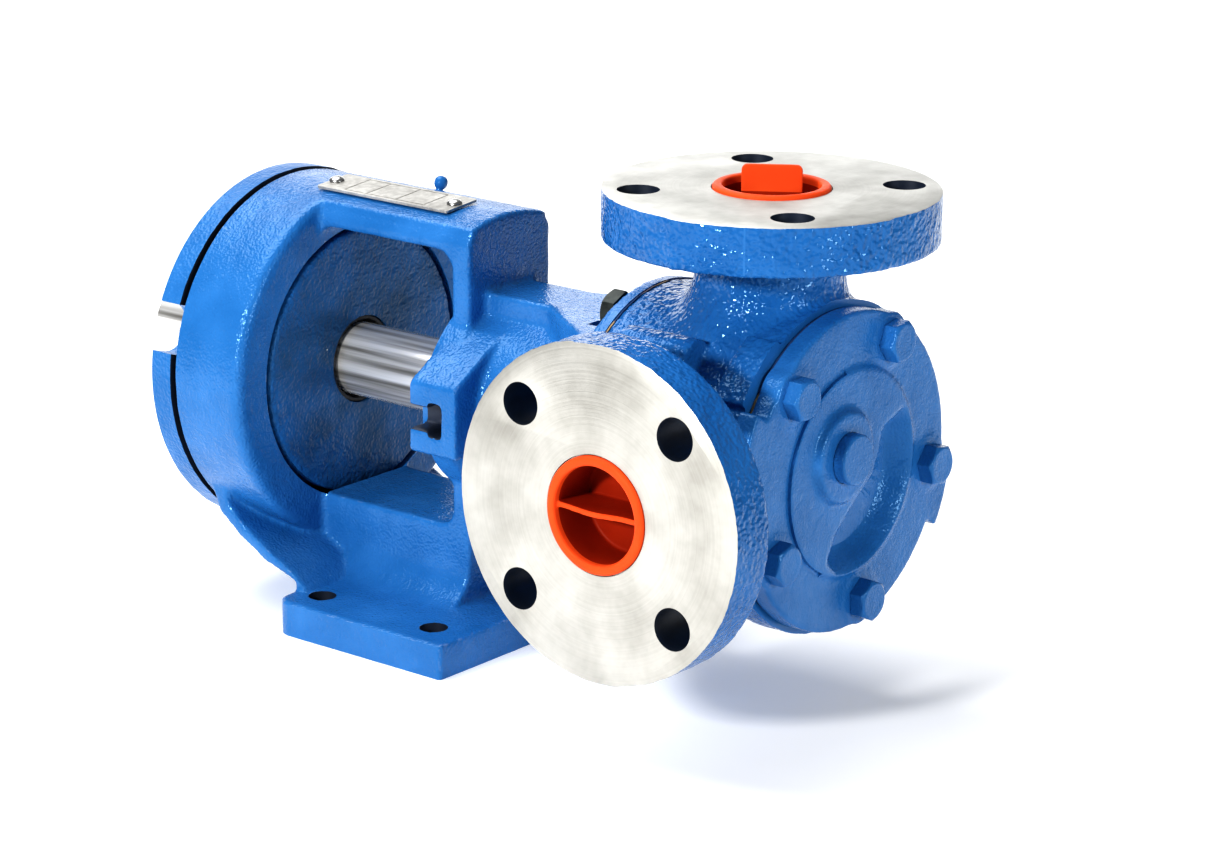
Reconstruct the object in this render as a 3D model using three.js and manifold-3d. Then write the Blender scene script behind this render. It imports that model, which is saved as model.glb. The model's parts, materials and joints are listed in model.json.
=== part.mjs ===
// Foot-mounted internal-gear pump: flanged casing, cover with idler and crescent, bracket with a
// mechanical seal, and an adjustable bearing housing.  Millimetres, +Z up.  The origin is the centre
// of the foot's underside, straight below the shaft; +Y runs along the shaft to its driven end and
// the side port faces -X.
import * as THREE from 'three';
import { mergeVertices } from 'three/addons/utils/BufferGeometryUtils.js';
import Module from 'manifold-3d';

const wasm = await Module();
wasm.setup();

// ---- Driving dimensions -------------------------------------------------------------------------
// Every piece is drawn about the shaft axis, with y = 0 where the two port axes cross it.
const SHAFT_HEIGHT = 95.25;          // shaft axis above the foot's underside
const FOOT_CENTRE_Y = 145.25;        // foot centre behind the port axes
const GAP = 0.3;                     // clearance between neighbouring pieces

const FLANGE_R = 63.5;               // 5 in port flanges
const FLANGE_THICK = 19;
const PORT_REACH = 101.6;            // shaft axis to port face
const PORT_BORE_R = 20.45;
const PORT_SEAT_R = 22.4;            // shallow counterbore round the port, where a cap's lip sits
const PORT_SEAT_DEEP = 2;
const PORT_NECK_R = 28;
const PORT_BOLT_CIRCLE_R = 49.3;
const PORT_BOLT_HOLE_R = 7.95;

const CASING_R = 58.7;
const CASING_RIM_R = 63;             // front rim that takes the cover
const CASING_FRONT_Y = -29.4;
const CASING_REAR_Y = 47.4;
const CHAMBER_R = 43.2;              // pumping chamber

const COVER_R = 60.8;
const COVER_FACE_Y = -38.6;
const COVER_BACK_Y = -30.9;
const COVER_BOLT_CIRCLE_R = 51.5;
const COVER_BOLT_ANGLES = [135, 207, 279, 351, 63];
const BRACKET_BOLT_ANGLES = [20, 110, 200, 290];
const BOLT_R = 4.7;                  // 3/8 in cap screws
const BOLT_HOLE_R = 5.1;
const BOLT_HEAD_ACROSS_FLATS = 14.3;
const BOLT_HEAD_HIGH = 6.6;

const ROTOR_POSTS = 12;
const IDLER_TEETH = 8;
const ROTOR_PITCH_R = 34.8;
const IDLER_PITCH_R = ROTOR_PITCH_R * IDLER_TEETH / ROTOR_POSTS;
const IDLER_OFFSET = ROTOR_PITCH_R - IDLER_PITCH_R;
const IDLER_ANGLE = 135;             // the idler sits towards the corner between the two ports
const POST_R = 5.2;                  // rounded inner end of a rotor post
const ROTOR_R = 42.8;
const IDLER_TIP_R = 28.5;
const TOOTH_CLEARANCE = 0.35;
const GEAR_FRONT_Y = -30.4;
const ROTOR_DISC_Y = 12;
const ROTOR_BACK_Y = 21.5;

const SHAFT_R = 15;
const BEARING_SEAT_R = 12.3;
const SHAFT_END_R = 9.5;             // 3/4 in driven end
const SHAFT_END_Y = 313;

const BRACKET_FLANGE_Y = 48.6;
const BRACKET_FLANGE_BACK_Y = 54;
const SEAL_CHAMBER_R = 26;
const BULKHEAD_Y = 125.5;
const WINDOW_FRONT_Y = 134.7;
const WINDOW_REAR_Y = 203.5;
const WINDOW_TOP_Z = 60;
const WINDOW_SILL_Z = -51;
const PEDESTAL_HALF = 24.7;
const DRUM_R = 73;
const DRUM_BORE_R = 56.9;
const DRUM_REAR_Y = 237.7;

const FOOT_HALF_X = 70;
const FOOT_FRONT_Y = 101.5;
const FOOT_REAR_Y = 189;
const FOOT_TOP_Z = -81.25;
const FOOT_HOLE_R = 5.55;
const FOOT_HOLE_X = 55.2;
const FOOT_HOLE_YS = [117.5, 176.3];

const LUG_HALF_X = 50;
const LUG_FRONT_Y = 110.7;
const LUG_REAR_Y = 134.2;
const LUG_HALF_Z = 14.2;

const HOUSING_FLANGE_R = 74;
const HOUSING_FLANGE_Y = 240.2;
const HOUSING_REAR_Y = 250.8;
const NOTCH_ANGLES = [164, 344];

// Facets round a full circle.
const LARGE = 40;
const MEDIUM = 24;
const SMALL = 16;
const FINE = 10;

// ---- Geometry helpers ---------------------------------------------------------------------------
const rad = THREE.MathUtils.degToRad;
const polar = (radius, degrees) => [radius * Math.cos(rad(degrees)), radius * Math.sin(rad(degrees))];

// A closed three.js geometry as a solid, its faces turned outwards.
function solid(geometry) {
  const bare = geometry.clone();
  bare.deleteAttribute('normal');
  bare.deleteAttribute('uv');
  const merged = mergeVertices(bare, 1e-4);
  const at = merged.attributes.position.array;
  const index = merged.index.array;
  const triangles = [];
  let volume = 0;
  for (let i = 0; i < index.length; i += 3) {
    const [a, b, c] = [index[i], index[i + 1], index[i + 2]];
    if (a === b || b === c || c === a) continue;
    triangles.push(a, b, c);
    const [p, q, s] = [a, b, c].map((v) => new THREE.Vector3(at[3 * v], at[3 * v + 1], at[3 * v + 2]));
    volume += p.dot(q.cross(s));
  }
  if (volume < 0) triangles.reverse();
  const mesh = new wasm.Mesh({
    numProp: 3,
    vertProperties: new Float32Array(at),
    triVerts: new Uint32Array(triangles),
  });
  return new wasm.Manifold(mesh);
}

const join = (...solids) => solids.reduce((whole, next) => whole.add(next));
const cut = (whole, ...tools) => tools.reduce((rest, tool) => rest.subtract(tool), whole);

function box(x0, x1, y0, y1, z0, z1) {
  const geometry = new THREE.BoxGeometry(x1 - x0, y1 - y0, z1 - z0);
  geometry.translate((x0 + x1) / 2, (y0 + y1) / 2, (z0 + z1) / 2);
  return solid(geometry);
}

// A round bar along an axis, between two stations on it; "at" gives its place across the axis.
function bar(axis, radius, from, to, at = [0, 0], segments = MEDIUM) {
  const geometry = new THREE.CylinderGeometry(radius, radius, to - from, segments);
  geometry.translate(0, (from + to) / 2, 0);
  if (axis === 'x') geometry.rotateZ(-Math.PI / 2).translate(0, at[0], at[1]);
  if (axis === 'y') geometry.translate(at[0], 0, at[1]);
  if (axis === 'z') geometry.rotateX(Math.PI / 2).translate(at[0], at[1], 0);
  return solid(geometry);
}

// A profile of [radius, station] points turned about Y, closed on itself or standing on the axis.
function turned(profile, segments = MEDIUM) {
  const points = profile.map(([radius, y]) => new THREE.Vector2(radius, y));
  const [first, last] = [profile[0], profile[profile.length - 1]];
  if (first[0] > 0 || last[0] > 0) points.push(new THREE.Vector2(...first));
  return new THREE.LatheGeometry(points, segments);
}

const shaftTurned = (profile, segments) => solid(turned(profile, segments));
const ring = (inner, outer, from, to, segments) =>
  shaftTurned([[inner, from], [outer, from], [outer, to], [inner, to]], segments);

// An outline pushed along an axis: [y, z] points along x, [x, z] points along y, [x, y] points along z.
const OUTLINE_BASES = {
  x: [[0, 1, 0], [0, 0, 1], [1, 0, 0]],
  y: [[1, 0, 0], [0, 0, 1], [0, 1, 0]],
  z: [[1, 0, 0], [0, 1, 0], [0, 0, 1]],
};
function prism(axis, outline, from, to) {
  const shape = new THREE.Shape(outline.map(([a, b]) => new THREE.Vector2(a, b)));
  const geometry = new THREE.ExtrudeGeometry(shape, { depth: to - from, bevelEnabled: false });
  geometry.translate(0, 0, from);
  const basis = OUTLINE_BASES[axis].map((v) => new THREE.Vector3(...v));
  geometry.applyMatrix4(new THREE.Matrix4().makeBasis(...basis));
  return solid(geometry);
}

function hexagon(acrossFlats, centre, degrees = 0) {
  const corner = acrossFlats / Math.sqrt(3);
  return Array.from({ length: 6 }, (_, k) => {
    const [x, z] = polar(corner, degrees + 60 * k);
    return [centre[0] + x, centre[1] + z];
  });
}

// A ring sector between two radii, as outline points.
function sector(inner, outer, fromDegrees, toDegrees, steps = 12) {
  const span = toDegrees - fromDegrees;
  const angles = Array.from({ length: steps + 1 }, (_, k) => fromDegrees + span * k / steps);
  const outside = angles.map((a) => polar(outer, a));
  const inside = angles.map((a) => polar(inner, a)).reverse();
  return [...outside, ...inside];
}

// ---- The assembly -------------------------------------------------------------------------------
const pump = new THREE.Group();
const assembly = new THREE.Group();
assembly.position.set(0, -FOOT_CENTRE_Y, SHAFT_HEIGHT);
pump.add(assembly);

const FINISHES = {
  enamel: { color: 0x1658a8, roughness: 0.3, metalness: 0.1 },
  steel: { color: 0xb9b6b0, roughness: 0.25, metalness: 0.9 },
  hardware: { color: 0x9a988f, roughness: 0.4, metalness: 0.8 },
  castIron: { color: 0x55565a, roughness: 0.6, metalness: 0.6 },
  bronze: { color: 0xa67c3d, roughness: 0.4, metalness: 0.9 },
  carbon: { color: 0x242427, roughness: 0.6, metalness: 0.1 },
  rubber: { color: 0x19191b, roughness: 0.8, metalness: 0 },
  gasket: { color: 0xb59a6c, roughness: 0.9, metalness: 0 },
  plastic: { color: 0xf0401c, roughness: 0.4, metalness: 0 },
  plate: { color: 0xc9c6bd, roughness: 0.35, metalness: 0.8 },
};

function piece(name, body, finish) {
  const built = body.getMesh();
  const geometry = new THREE.BufferGeometry();
  geometry.setAttribute('position', new THREE.BufferAttribute(new Float32Array(built.vertProperties), 3));
  geometry.setIndex(new THREE.BufferAttribute(new Uint32Array(built.triVerts), 1));
  geometry.computeVertexNormals();
  const mesh = new THREE.Mesh(geometry, new THREE.MeshStandardMaterial(FINISHES[finish]));
  mesh.name = name;
  assembly.add(mesh);
}

// ---- Pump casing: chamber, two flanged ports at a right angle -----------------------------------
const boltHoles = (angles, radius, from, to, circle = COVER_BOLT_CIRCLE_R) =>
  join(...angles.map((angle) => bar('y', radius, from, to, polar(circle, angle), FINE)));

// Neck, flare and flange of one port, drawn along +Y and then turned to face its way.
function portNeck() {
  const underside = PORT_REACH - FLANGE_THICK;
  return turned([
    [0, 0], [46, 0], [45, 40], [37, 52], [31, 60], [PORT_NECK_R, 68], [PORT_NECK_R, underside - 5],
    [PORT_NECK_R + 4, underside], [FLANGE_R, underside], [FLANGE_R, PORT_REACH], [0, PORT_REACH],
  ], LARGE);
}

function casing() {
  const body = shaftTurned([
    [0, CASING_FRONT_Y], [CASING_RIM_R, CASING_FRONT_Y], [CASING_RIM_R, -17], [CASING_R, -12],
    [CASING_R, CASING_REAR_Y], [0, CASING_REAR_Y],
  ], LARGE);
  const topNeck = solid(portNeck().rotateX(Math.PI / 2));
  const sideNeck = solid(portNeck().rotateZ(Math.PI / 2));
  const rimPad = prism('y', sector(50, 66, 122, 147), CASING_FRONT_Y, -16);
  const sideBoss = bar('y', 8, 0, 30, polar(64, IDLER_ANGLE), FINE);
  const boss = (angle) => bar('y', 10.5, CASING_FRONT_Y, -8, polar(COVER_BOLT_CIRCLE_R, angle), FINE);
  const bosses = join(...COVER_BOLT_ANGLES.map(boss));
  const slab = box(-140, 140, CASING_FRONT_Y, CASING_REAR_Y, -140, 140);
  const rough = join(body, topNeck.intersect(join(slab, box(-70, 70, -70, 70, 62, 110))),
    sideNeck.intersect(join(slab, box(-110, -62, -70, 70, -70, 70))), rimPad, sideBoss, bosses);
  const boltsTop = [45, 135, 225, 315].map((a) =>
    bar('z', PORT_BOLT_HOLE_R, 60, 120, polar(PORT_BOLT_CIRCLE_R, a), SMALL));
  const boltsSide = [45, 135, 225, 315].map((a) =>
    bar('x', PORT_BOLT_HOLE_R, -120, -PORT_REACH + FLANGE_THICK + 3, polar(PORT_BOLT_CIRCLE_R, a), SMALL));
  return cut(rough,
    bar('y', CHAMBER_R, -60, 80, [0, 0], LARGE),
    bar('z', PORT_BORE_R, 20, 120),
    bar('x', PORT_BORE_R, -120, -20),
    bar('z', PORT_SEAT_R, PORT_REACH - PORT_SEAT_DEEP, 120),
    bar('x', PORT_SEAT_R, -120, PORT_SEAT_DEEP - PORT_REACH),
    boltHoles(COVER_BOLT_ANGLES, BOLT_HOLE_R, -60, -13),
    boltHoles(BRACKET_BOLT_ANGLES, BOLT_HOLE_R, 27, 60),
    ...boltsTop, ...boltsSide);
}
piece('casing', casing(), 'enamel');

// ---- Cover with crescent, idler pin boss and pry lugs -------------------------------------------
const idlerCentre = polar(IDLER_OFFSET, IDLER_ANGLE);
const PIN_R = 9.6;
const PIN_FACE_Y = -48;

function cover() {
  const disc = bar('y', COVER_R, COVER_FACE_Y, COVER_BACK_Y, [0, 0], LARGE);
  const plateau = bar('y', 39.5, COVER_FACE_Y - 1.6, COVER_BACK_Y, [0, 0], MEDIUM);
  const pinBoss = bar('y', 17.5, -43.2, COVER_BACK_Y, idlerCentre, SMALL);
  const pinBack = bar('y', 15, COVER_FACE_Y, GEAR_FRONT_Y - GAP, idlerCentre, SMALL);
  const pryLugs = [-31, 149].map((a) => prism('y', sector(50, 68, a, a + 23, 6), COVER_FACE_Y, COVER_BACK_Y));
  const away = IDLER_ANGLE + 180;
  const wedge = (half) => prism('y', [[0, 0],
    ...Array.from({ length: 9 }, (_, k) => polar(80, away + half * (k - 4) / 4))], -60, 40);
  const crescent = cut(bar('y', ROTOR_PITCH_R - POST_R - 0.4, -32, ROTOR_DISC_Y - 0.8, [0, 0], LARGE),
    bar('y', IDLER_TIP_R + 0.4, -60, 40, idlerCentre, LARGE)).intersect(wedge(68));
  const scoop = cut(bar('y', 36, -60, -35, [0, 0], MEDIUM), bar('y', 20.5, -70, 0, idlerCentre, MEDIUM))
    .intersect(wedge(72));
  const scoopDeep = cut(bar('y', 26, -60, -26, [0, 0], MEDIUM), bar('y', 32, -70, 0, idlerCentre, MEDIUM))
    .intersect(wedge(50));
  const whole = join(disc, plateau, pinBoss, pinBack, crescent, ...pryLugs);
  return cut(whole, scoop, scoopDeep, bar('y', PIN_R + GAP, -60, 0, idlerCentre, SMALL),
    boltHoles(COVER_BOLT_ANGLES, BOLT_HOLE_R, -60, 0));
}
piece('cover', cover(), 'enamel');

// A paper ring between two joint faces, punched for its bolts.
function gasket(outer, from, to, angles) {
  const blank = ring(CHAMBER_R + 0.2, outer - 0.3, from + GAP, to - GAP, LARGE);
  return cut(blank, boltHoles(angles, BOLT_HOLE_R, from - 10, to + 10));
}
piece('cover_gasket', gasket(COVER_R, COVER_BACK_Y, CASING_FRONT_Y, COVER_BOLT_ANGLES), 'gasket');

function capScrew(centre, headFrom, headTo, shankTo, degrees) {
  const head = prism('y', hexagon(BOLT_HEAD_ACROSS_FLATS, centre, degrees),
    Math.min(headFrom, headTo), Math.max(headFrom, headTo));
  const shank = bar('y', BOLT_R, Math.min(headFrom, shankTo), Math.max(headFrom, shankTo), centre, FINE);
  return join(head, shank);
}
COVER_BOLT_ANGLES.forEach((angle, k) => {
  const face = COVER_FACE_Y - GAP;
  const centre = polar(COVER_BOLT_CIRCLE_R, angle);
  piece(`cover_bolt_${k + 1}`, capScrew(centre, face, face - BOLT_HEAD_HIGH, -14, 17 * k), 'enamel');
});

// ---- Rotor, idler and their bearings ------------------------------------------------------------
function rotor() {
  const post = (k) => {
    const angle = 360 * k / ROTOR_POSTS;
    const round = bar('y', POST_R, GEAR_FRONT_Y, ROTOR_DISC_Y + 1, polar(ROTOR_PITCH_R, angle), FINE);
    const outline = [[ROTOR_PITCH_R, -POST_R], [60, -POST_R], [60, POST_R], [ROTOR_PITCH_R, POST_R]]
      .map(([a, b]) => new THREE.Vector2(a, b).rotateAround(new THREE.Vector2(), rad(angle)).toArray());
    return join(round, prism('y', outline, GEAR_FRONT_Y, ROTOR_DISC_Y + 1));
  };
  const posts = join(...Array.from({ length: ROTOR_POSTS }, (_, k) => post(k)));
  const disc = bar('y', ROTOR_R, ROTOR_DISC_Y, ROTOR_BACK_Y, [0, 0], LARGE);
  const envelope = bar('y', ROTOR_R, -60, 60, [0, 0], LARGE);
  return cut(join(disc, posts.intersect(envelope)), bar('y', 11.3, 0, MEDIUM));
}
piece('rotor', rotor(), 'castIron');

// The idler's outline stands clear of every rotor post at every position of the two gears: for each
// direction it is the nearest point that any post's rounded end reaches, seen from the idler.
function idlerOutline(samples) {
  const reach = POST_R + TOOTH_CLEARANCE;
  return Array.from({ length: samples }, (_, s) => {
    const direction = 2 * Math.PI * s / samples;
    let radius = IDLER_TIP_R;
    for (let phase = 0; phase < 360; phase += 1.5) {
      const turn = rad(phase * ROTOR_POSTS / IDLER_TEETH);
      for (let k = 0; k < ROTOR_POSTS; k += 1) {
        const [px, pz] = polar(ROTOR_PITCH_R, phase + 360 * k / ROTOR_POSTS);
        const post = new THREE.Vector2(px - idlerCentre[0], pz - idlerCentre[1]);
        post.rotateAround(new THREE.Vector2(), -turn);
        const along = post.x * Math.cos(direction) + post.y * Math.sin(direction);
        const across = post.y * Math.cos(direction) - post.x * Math.sin(direction);
        if (along > 0 && Math.abs(across) < reach) {
          radius = Math.min(radius, along - Math.sqrt(reach * reach - across * across));
        }
      }
    }
    return [idlerCentre[0] + radius * Math.cos(direction), idlerCentre[1] + radius * Math.sin(direction)];
  });
}
const BUSHING_R = 13;
const GEAR_BACK_Y = ROTOR_DISC_Y - 0.6;
piece('idler_gear', cut(prism('y', idlerOutline(IDLER_TEETH * 16), GEAR_FRONT_Y, GEAR_BACK_Y),
  bar('y', BUSHING_R + GAP, -60, 60, idlerCentre, SMALL)), 'castIron');
piece('idler_bushing', cut(bar('y', BUSHING_R, GEAR_FRONT_Y, GEAR_BACK_Y, idlerCentre, SMALL),
  bar('y', PIN_R + GAP, -60, 60, idlerCentre, SMALL)), 'bronze');
piece('idler_pin', bar('y', PIN_R, PIN_FACE_Y, GEAR_BACK_Y, idlerCentre, SMALL), 'enamel');

// ---- Bracket: pilot, seal chamber, slotted lugs, open window, drum and foot ----------------------
function bracket() {
  const stem = shaftTurned([
    [0, 22], [42.9, 22], [42.9, BRACKET_FLANGE_Y], [CASING_R, BRACKET_FLANGE_Y],
    [CASING_R, BRACKET_FLANGE_BACK_Y], [50, BRACKET_FLANGE_BACK_Y], [42, 64], [39, 78], [37, 92],
    [37, BULKHEAD_Y], [40, BULKHEAD_Y], [40, WINDOW_FRONT_Y + 1.4], [0, WINDOW_FRONT_Y + 1.4],
  ], LARGE);
  const ridge = prism('z', [[-39, 54], [39, 54], [39, 60], [14.4, 94], [14.4, 130], [-14.4, 130], [-14.4, 94],
    [-39, 60]], 20, 43.5);
  const lugs = prism('y', [[-LUG_HALF_X, -LUG_HALF_Z], [LUG_HALF_X, -LUG_HALF_Z], [LUG_HALF_X, LUG_HALF_Z],
    [21, 31], [-21, 31], [-LUG_HALF_X, LUG_HALF_Z]], LUG_FRONT_Y, LUG_REAR_Y);
  const frame = cut(
    box(-PEDESTAL_HALF, PEDESTAL_HALF, BULKHEAD_Y, WINDOW_REAR_Y + 2, FOOT_TOP_Z - 2, 80),
    box(-40, 40, WINDOW_FRONT_Y, WINDOW_REAR_Y, WINDOW_SILL_Z, WINDOW_TOP_Z),
  ).intersect(join(bar('y', DRUM_R, 100, 230, [0, 0], LARGE), box(-40, 40, 100, 230, -120, 0)));
  const drum = bar('y', DRUM_R, WINDOW_REAR_Y, DRUM_REAR_Y, [0, 0], LARGE);
  const flare = prism('y', [[-33, FOOT_TOP_Z - 1], [33, FOOT_TOP_Z - 1], [PEDESTAL_HALF, FOOT_TOP_Z + 8],
    [-PEDESTAL_HALF, FOOT_TOP_Z + 8]], BULKHEAD_Y, WINDOW_REAR_Y - 16);
  const foot = box(-FOOT_HALF_X, FOOT_HALF_X, FOOT_FRONT_Y, FOOT_REAR_Y, -SHAFT_HEIGHT, FOOT_TOP_Z);
  const web = prism('x', [[184, -84], [188.5, -84], [189.5, -78.2], [206, -73], [220, -65.4], [231, -57],
    [235, -46], [228, -46], [225.5, -54], [217, -61], [204, -68.5], [191, -75], [184, -80]], -57, 57);
  const rough = join(stem, ridge, lugs, frame, drum, flare, foot, web);

  const slotNeck = box(-60, 60, LUG_REAR_Y - 9.4, LUG_REAR_Y + 10, -4.2, 4.2);
  const slotHead = box(-60, 60, LUG_REAR_Y - 15.6, LUG_REAR_Y - 9.4, -6.8, 6.8);
  const slots = cut(join(slotNeck, slotHead), bar('y', 40, 90, 160, [0, 0], LARGE));
  const pockets = BRACKET_BOLT_ANGLES.map((a) =>
    bar('y', 9.5, BRACKET_FLANGE_BACK_Y, 66, polar(COVER_BOLT_CIRCLE_R, a), FINE));
  const footHoles = FOOT_HOLE_YS.flatMap((y) => [-FOOT_HOLE_X, FOOT_HOLE_X].map((x) =>
    bar('z', FOOT_HOLE_R, -120, -70, [x, y], SMALL)));
  return cut(rough, slots, ...pockets, ...footHoles,
    boltHoles(BRACKET_BOLT_ANGLES, BOLT_HOLE_R, 20, 70),
    bar('y', 18.3, 0, 70, [0, 0], MEDIUM),
    bar('y', SEAL_CHAMBER_R, 60, 160, [0, 0], MEDIUM),
    bar('y', DRUM_BORE_R, WINDOW_REAR_Y - 2, 260, [0, 0], LARGE),
    ...NAMEPLATE_RIVET_YS.map((y) => rivetHole(y)), greaseHole());
}

const NAMEPLATE = { x: -6.3, y: 179, wide: 18.5, long: 69, thick: 1, tilt: 5 };
const NAMEPLATE_RIVET_YS = [148.5, 210.8];
const GREASE = { y: 184, angle: 70 };   // on the arch's right shoulder, pointing away from the shaft
const onRoof = (geometry, y) => geometry.rotateX(Math.PI / 2).translate(0, y, DRUM_R)
  .rotateY(-rad(NAMEPLATE.tilt));
const rivetHole = (y) => solid(onRoof(new THREE.CylinderGeometry(1.6, 1.6, 12, FINE), y));
const onShoulder = (geometry) => geometry.rotateX(Math.PI / 2).translate(0, GREASE.y, 0)
  .rotateY(rad(90 - GREASE.angle));
const greaseHole = () => solid(onShoulder(new THREE.CylinderGeometry(2.8, 2.8, 30, FINE).translate(0, 75, 0)));
piece('bracket', bracket(), 'enamel');
piece('casing_gasket', gasket(CASING_R, CASING_REAR_Y, BRACKET_FLANGE_Y, BRACKET_BOLT_ANGLES), 'gasket');
BRACKET_BOLT_ANGLES.forEach((angle, k) => {
  const face = BRACKET_FLANGE_BACK_Y + GAP;
  const centre = polar(COVER_BOLT_CIRCLE_R, angle);
  piece(`bracket_bolt_${k + 1}`, capScrew(centre, face, face + BOLT_HEAD_HIGH, 28, 25 * k), 'hardware');
});

// ---- Shaft and mechanical seal ------------------------------------------------------------------
const KEY = { wide: 4.7, deep: 2.4, from: 282, to: 310 };
function shaft() {
  const blank = shaftTurned([
    [0, ROTOR_DISC_Y + 0.2], [11, ROTOR_DISC_Y + 0.2], [11, ROTOR_BACK_Y + GAP],
    [SHAFT_R, ROTOR_BACK_Y + GAP], [SHAFT_R, 214], [BEARING_SEAT_R, 214], [BEARING_SEAT_R, 252],
    [SHAFT_END_R, 252], [SHAFT_END_R, SHAFT_END_Y - 1], [SHAFT_END_R - 1, SHAFT_END_Y], [0, SHAFT_END_Y],
  ]);
  const keyway = box(-KEY.wide / 2, KEY.wide / 2, KEY.from - GAP, KEY.to + GAP, SHAFT_END_R - KEY.deep, 20);
  return cut(blank, keyway);
}
piece('shaft', shaft(), 'steel');
piece('shaft_key', box(-KEY.wide / 2 + GAP, KEY.wide / 2 - GAP, KEY.from, KEY.to,
  SHAFT_END_R - KEY.deep + GAP, SHAFT_END_R + KEY.deep), 'steel');

const ON_SHAFT = SHAFT_R + GAP;
piece('bracket_bushing', ring(ON_SHAFT, 18, 23, 58, MEDIUM), 'bronze');
piece('seal_seat', ring(ON_SHAFT + 1.2, SEAL_CHAMBER_R - GAP, 60 + GAP, 68, MEDIUM), 'carbon');
piece('seal_rotary', shaftTurned([[ON_SHAFT, 68.3], [20, 68.3], [20, 72], [23.5, 72], [23.5, 90],
  [ON_SHAFT, 90]], MEDIUM), 'steel');

// A compression spring that keeps the rotary face against its seat.
function sealSpring() {
  const [turns, wire, radius, from, to] = [4, 1.1, 19, 91.6, 110.6];
  const steps = turns * FINE;
  const line = Array.from({ length: steps + 1 }, (_, k) => {
    const [x, z] = polar(radius, 360 * turns * k / steps);
    return new THREE.Vector3(x, from + (to - from) * k / steps, z);
  });
  const corners = Array.from({ length: 6 }, (_, k) => new THREE.Vector2(...polar(wire, 60 * k)));
  const section = new THREE.Shape(corners);
  return solid(new THREE.ExtrudeGeometry(section, {
    steps, bevelEnabled: false, extrudePath: new THREE.CatmullRomCurve3(line),
  }));
}
piece('seal_spring', sealSpring(), 'steel');
piece('seal_collar', ring(ON_SHAFT, 22, 112.3, 121, MEDIUM), 'steel');
piece('seal_end_plate', ring(ON_SHAFT + 1, SEAL_CHAMBER_R - GAP, 127, 133.5, MEDIUM), 'castIron');

// ---- Bearing housing and what it holds ----------------------------------------------------------
const BEARING = {
  from: 217, to: 234, outer: 31, inner: BEARING_SEAT_R + GAP, pitch: 21.8, ball: 5.4, balls: 7,
};

function bearingHousing() {
  const inside = DRUM_BORE_R - GAP;
  const body = shaftTurned([
    [18, WINDOW_REAR_Y], [inside, WINDOW_REAR_Y], [inside, HOUSING_FLANGE_Y],
    [HOUSING_FLANGE_R, HOUSING_FLANGE_Y], [HOUSING_FLANGE_R, HOUSING_REAR_Y], [34.5, HOUSING_REAR_Y],
    [34.5, BEARING.to + GAP], [BEARING.outer + GAP, BEARING.to + GAP],
    [BEARING.outer + GAP, BEARING.from - GAP], [22, BEARING.from - GAP], [22, 212], [18, 212],
  ], LARGE);
  const notch = (angle) => {
    const outline = [[66, -10], [90, -10], [90, 10], [66, 10]].map(([a, b]) =>
      new THREE.Vector2(a, b).rotateAround(new THREE.Vector2(), rad(angle)).toArray());
    return join(prism('y', outline, HOUSING_FLANGE_Y - 1.2, 260),
      bar('y', 10, HOUSING_FLANGE_Y - 1.2, 260, polar(66, angle), SMALL));
  };
  return cut(body, ...NOTCH_ANGLES.map(notch), boltHoles(SET_SCREW_ANGLES, 3.5, 220, 260, SET_SCREW_R));
}
const SET_SCREW_ANGLES = [60, 240];
const SET_SCREW_R = 65.5;
piece('bearing_housing', bearingHousing(), 'enamel');
SET_SCREW_ANGLES.forEach((angle, k) => {
  const at = polar(SET_SCREW_R, angle);
  const screw = bar('y', 3.2, DRUM_REAR_Y + GAP, HOUSING_REAR_Y - 1, at, FINE);
  const socket = prism('y', hexagon(3, at), HOUSING_REAR_Y - 5, 260);
  piece(`housing_set_screw_${k + 1}`, cut(screw, socket), 'hardware');
});

const ballTrack = (radius) => {
  const y = (BEARING.from + BEARING.to) / 2;
  const section = Array.from({ length: 8 }, (_, k) => polar(radius, 45 * k))
    .map(([r, dy]) => [BEARING.pitch + r, y + dy]);
  return shaftTurned(section, MEDIUM);
};
const groove = ballTrack(BEARING.ball + 2 * GAP);
const race = (inner, outer) => cut(ring(inner, outer, BEARING.from, BEARING.to), groove);
piece('bearing_outer_race', race(25.4, BEARING.outer), 'steel');
piece('bearing_inner_race', race(BEARING.inner, 18.2), 'steel');

function bearingBalls() {
  const middle = (BEARING.from + BEARING.to) / 2;
  const cage = ring(BEARING.pitch - 1.6, BEARING.pitch + 1.6, middle - 2.6, middle + 2.6, MEDIUM);
  const balls = Array.from({ length: BEARING.balls }, (_, k) => {
    const [x, z] = polar(BEARING.pitch, 360 * k / BEARING.balls);
    return solid(new THREE.SphereGeometry(BEARING.ball, 10, 6).translate(x, middle, z));
  });
  return join(cage, ...balls);
}
piece('bearing_balls', bearingBalls(), 'steel');
piece('bearing_spacer', ring(BEARING.inner, 17, 214 + GAP, BEARING.from - GAP, MEDIUM), 'steel');
piece('inner_lip_seal', shaftTurned([[ON_SHAFT, 207], [16.5, 204.5], [17.7, 204.5], [17.7, 211], [16.5, 211],
  [16.5, 207.5]], MEDIUM), 'rubber');
piece('lockwasher', ring(BEARING.inner, 19, BEARING.to + GAP, BEARING.to + 1.6, MEDIUM), 'hardware');

function locknut() {
  const from = BEARING.to + 1.9;
  const blank = ring(BEARING.inner, 18.5, from, from + 7, MEDIUM);
  const spannerSlots = [0, 90, 180, 270].map((a) => bar('y', 2.4, from - 1, from + 8, polar(18.6, a), FINE));
  return cut(blank, ...spannerSlots);
}
piece('locknut', locknut(), 'hardware');

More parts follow.
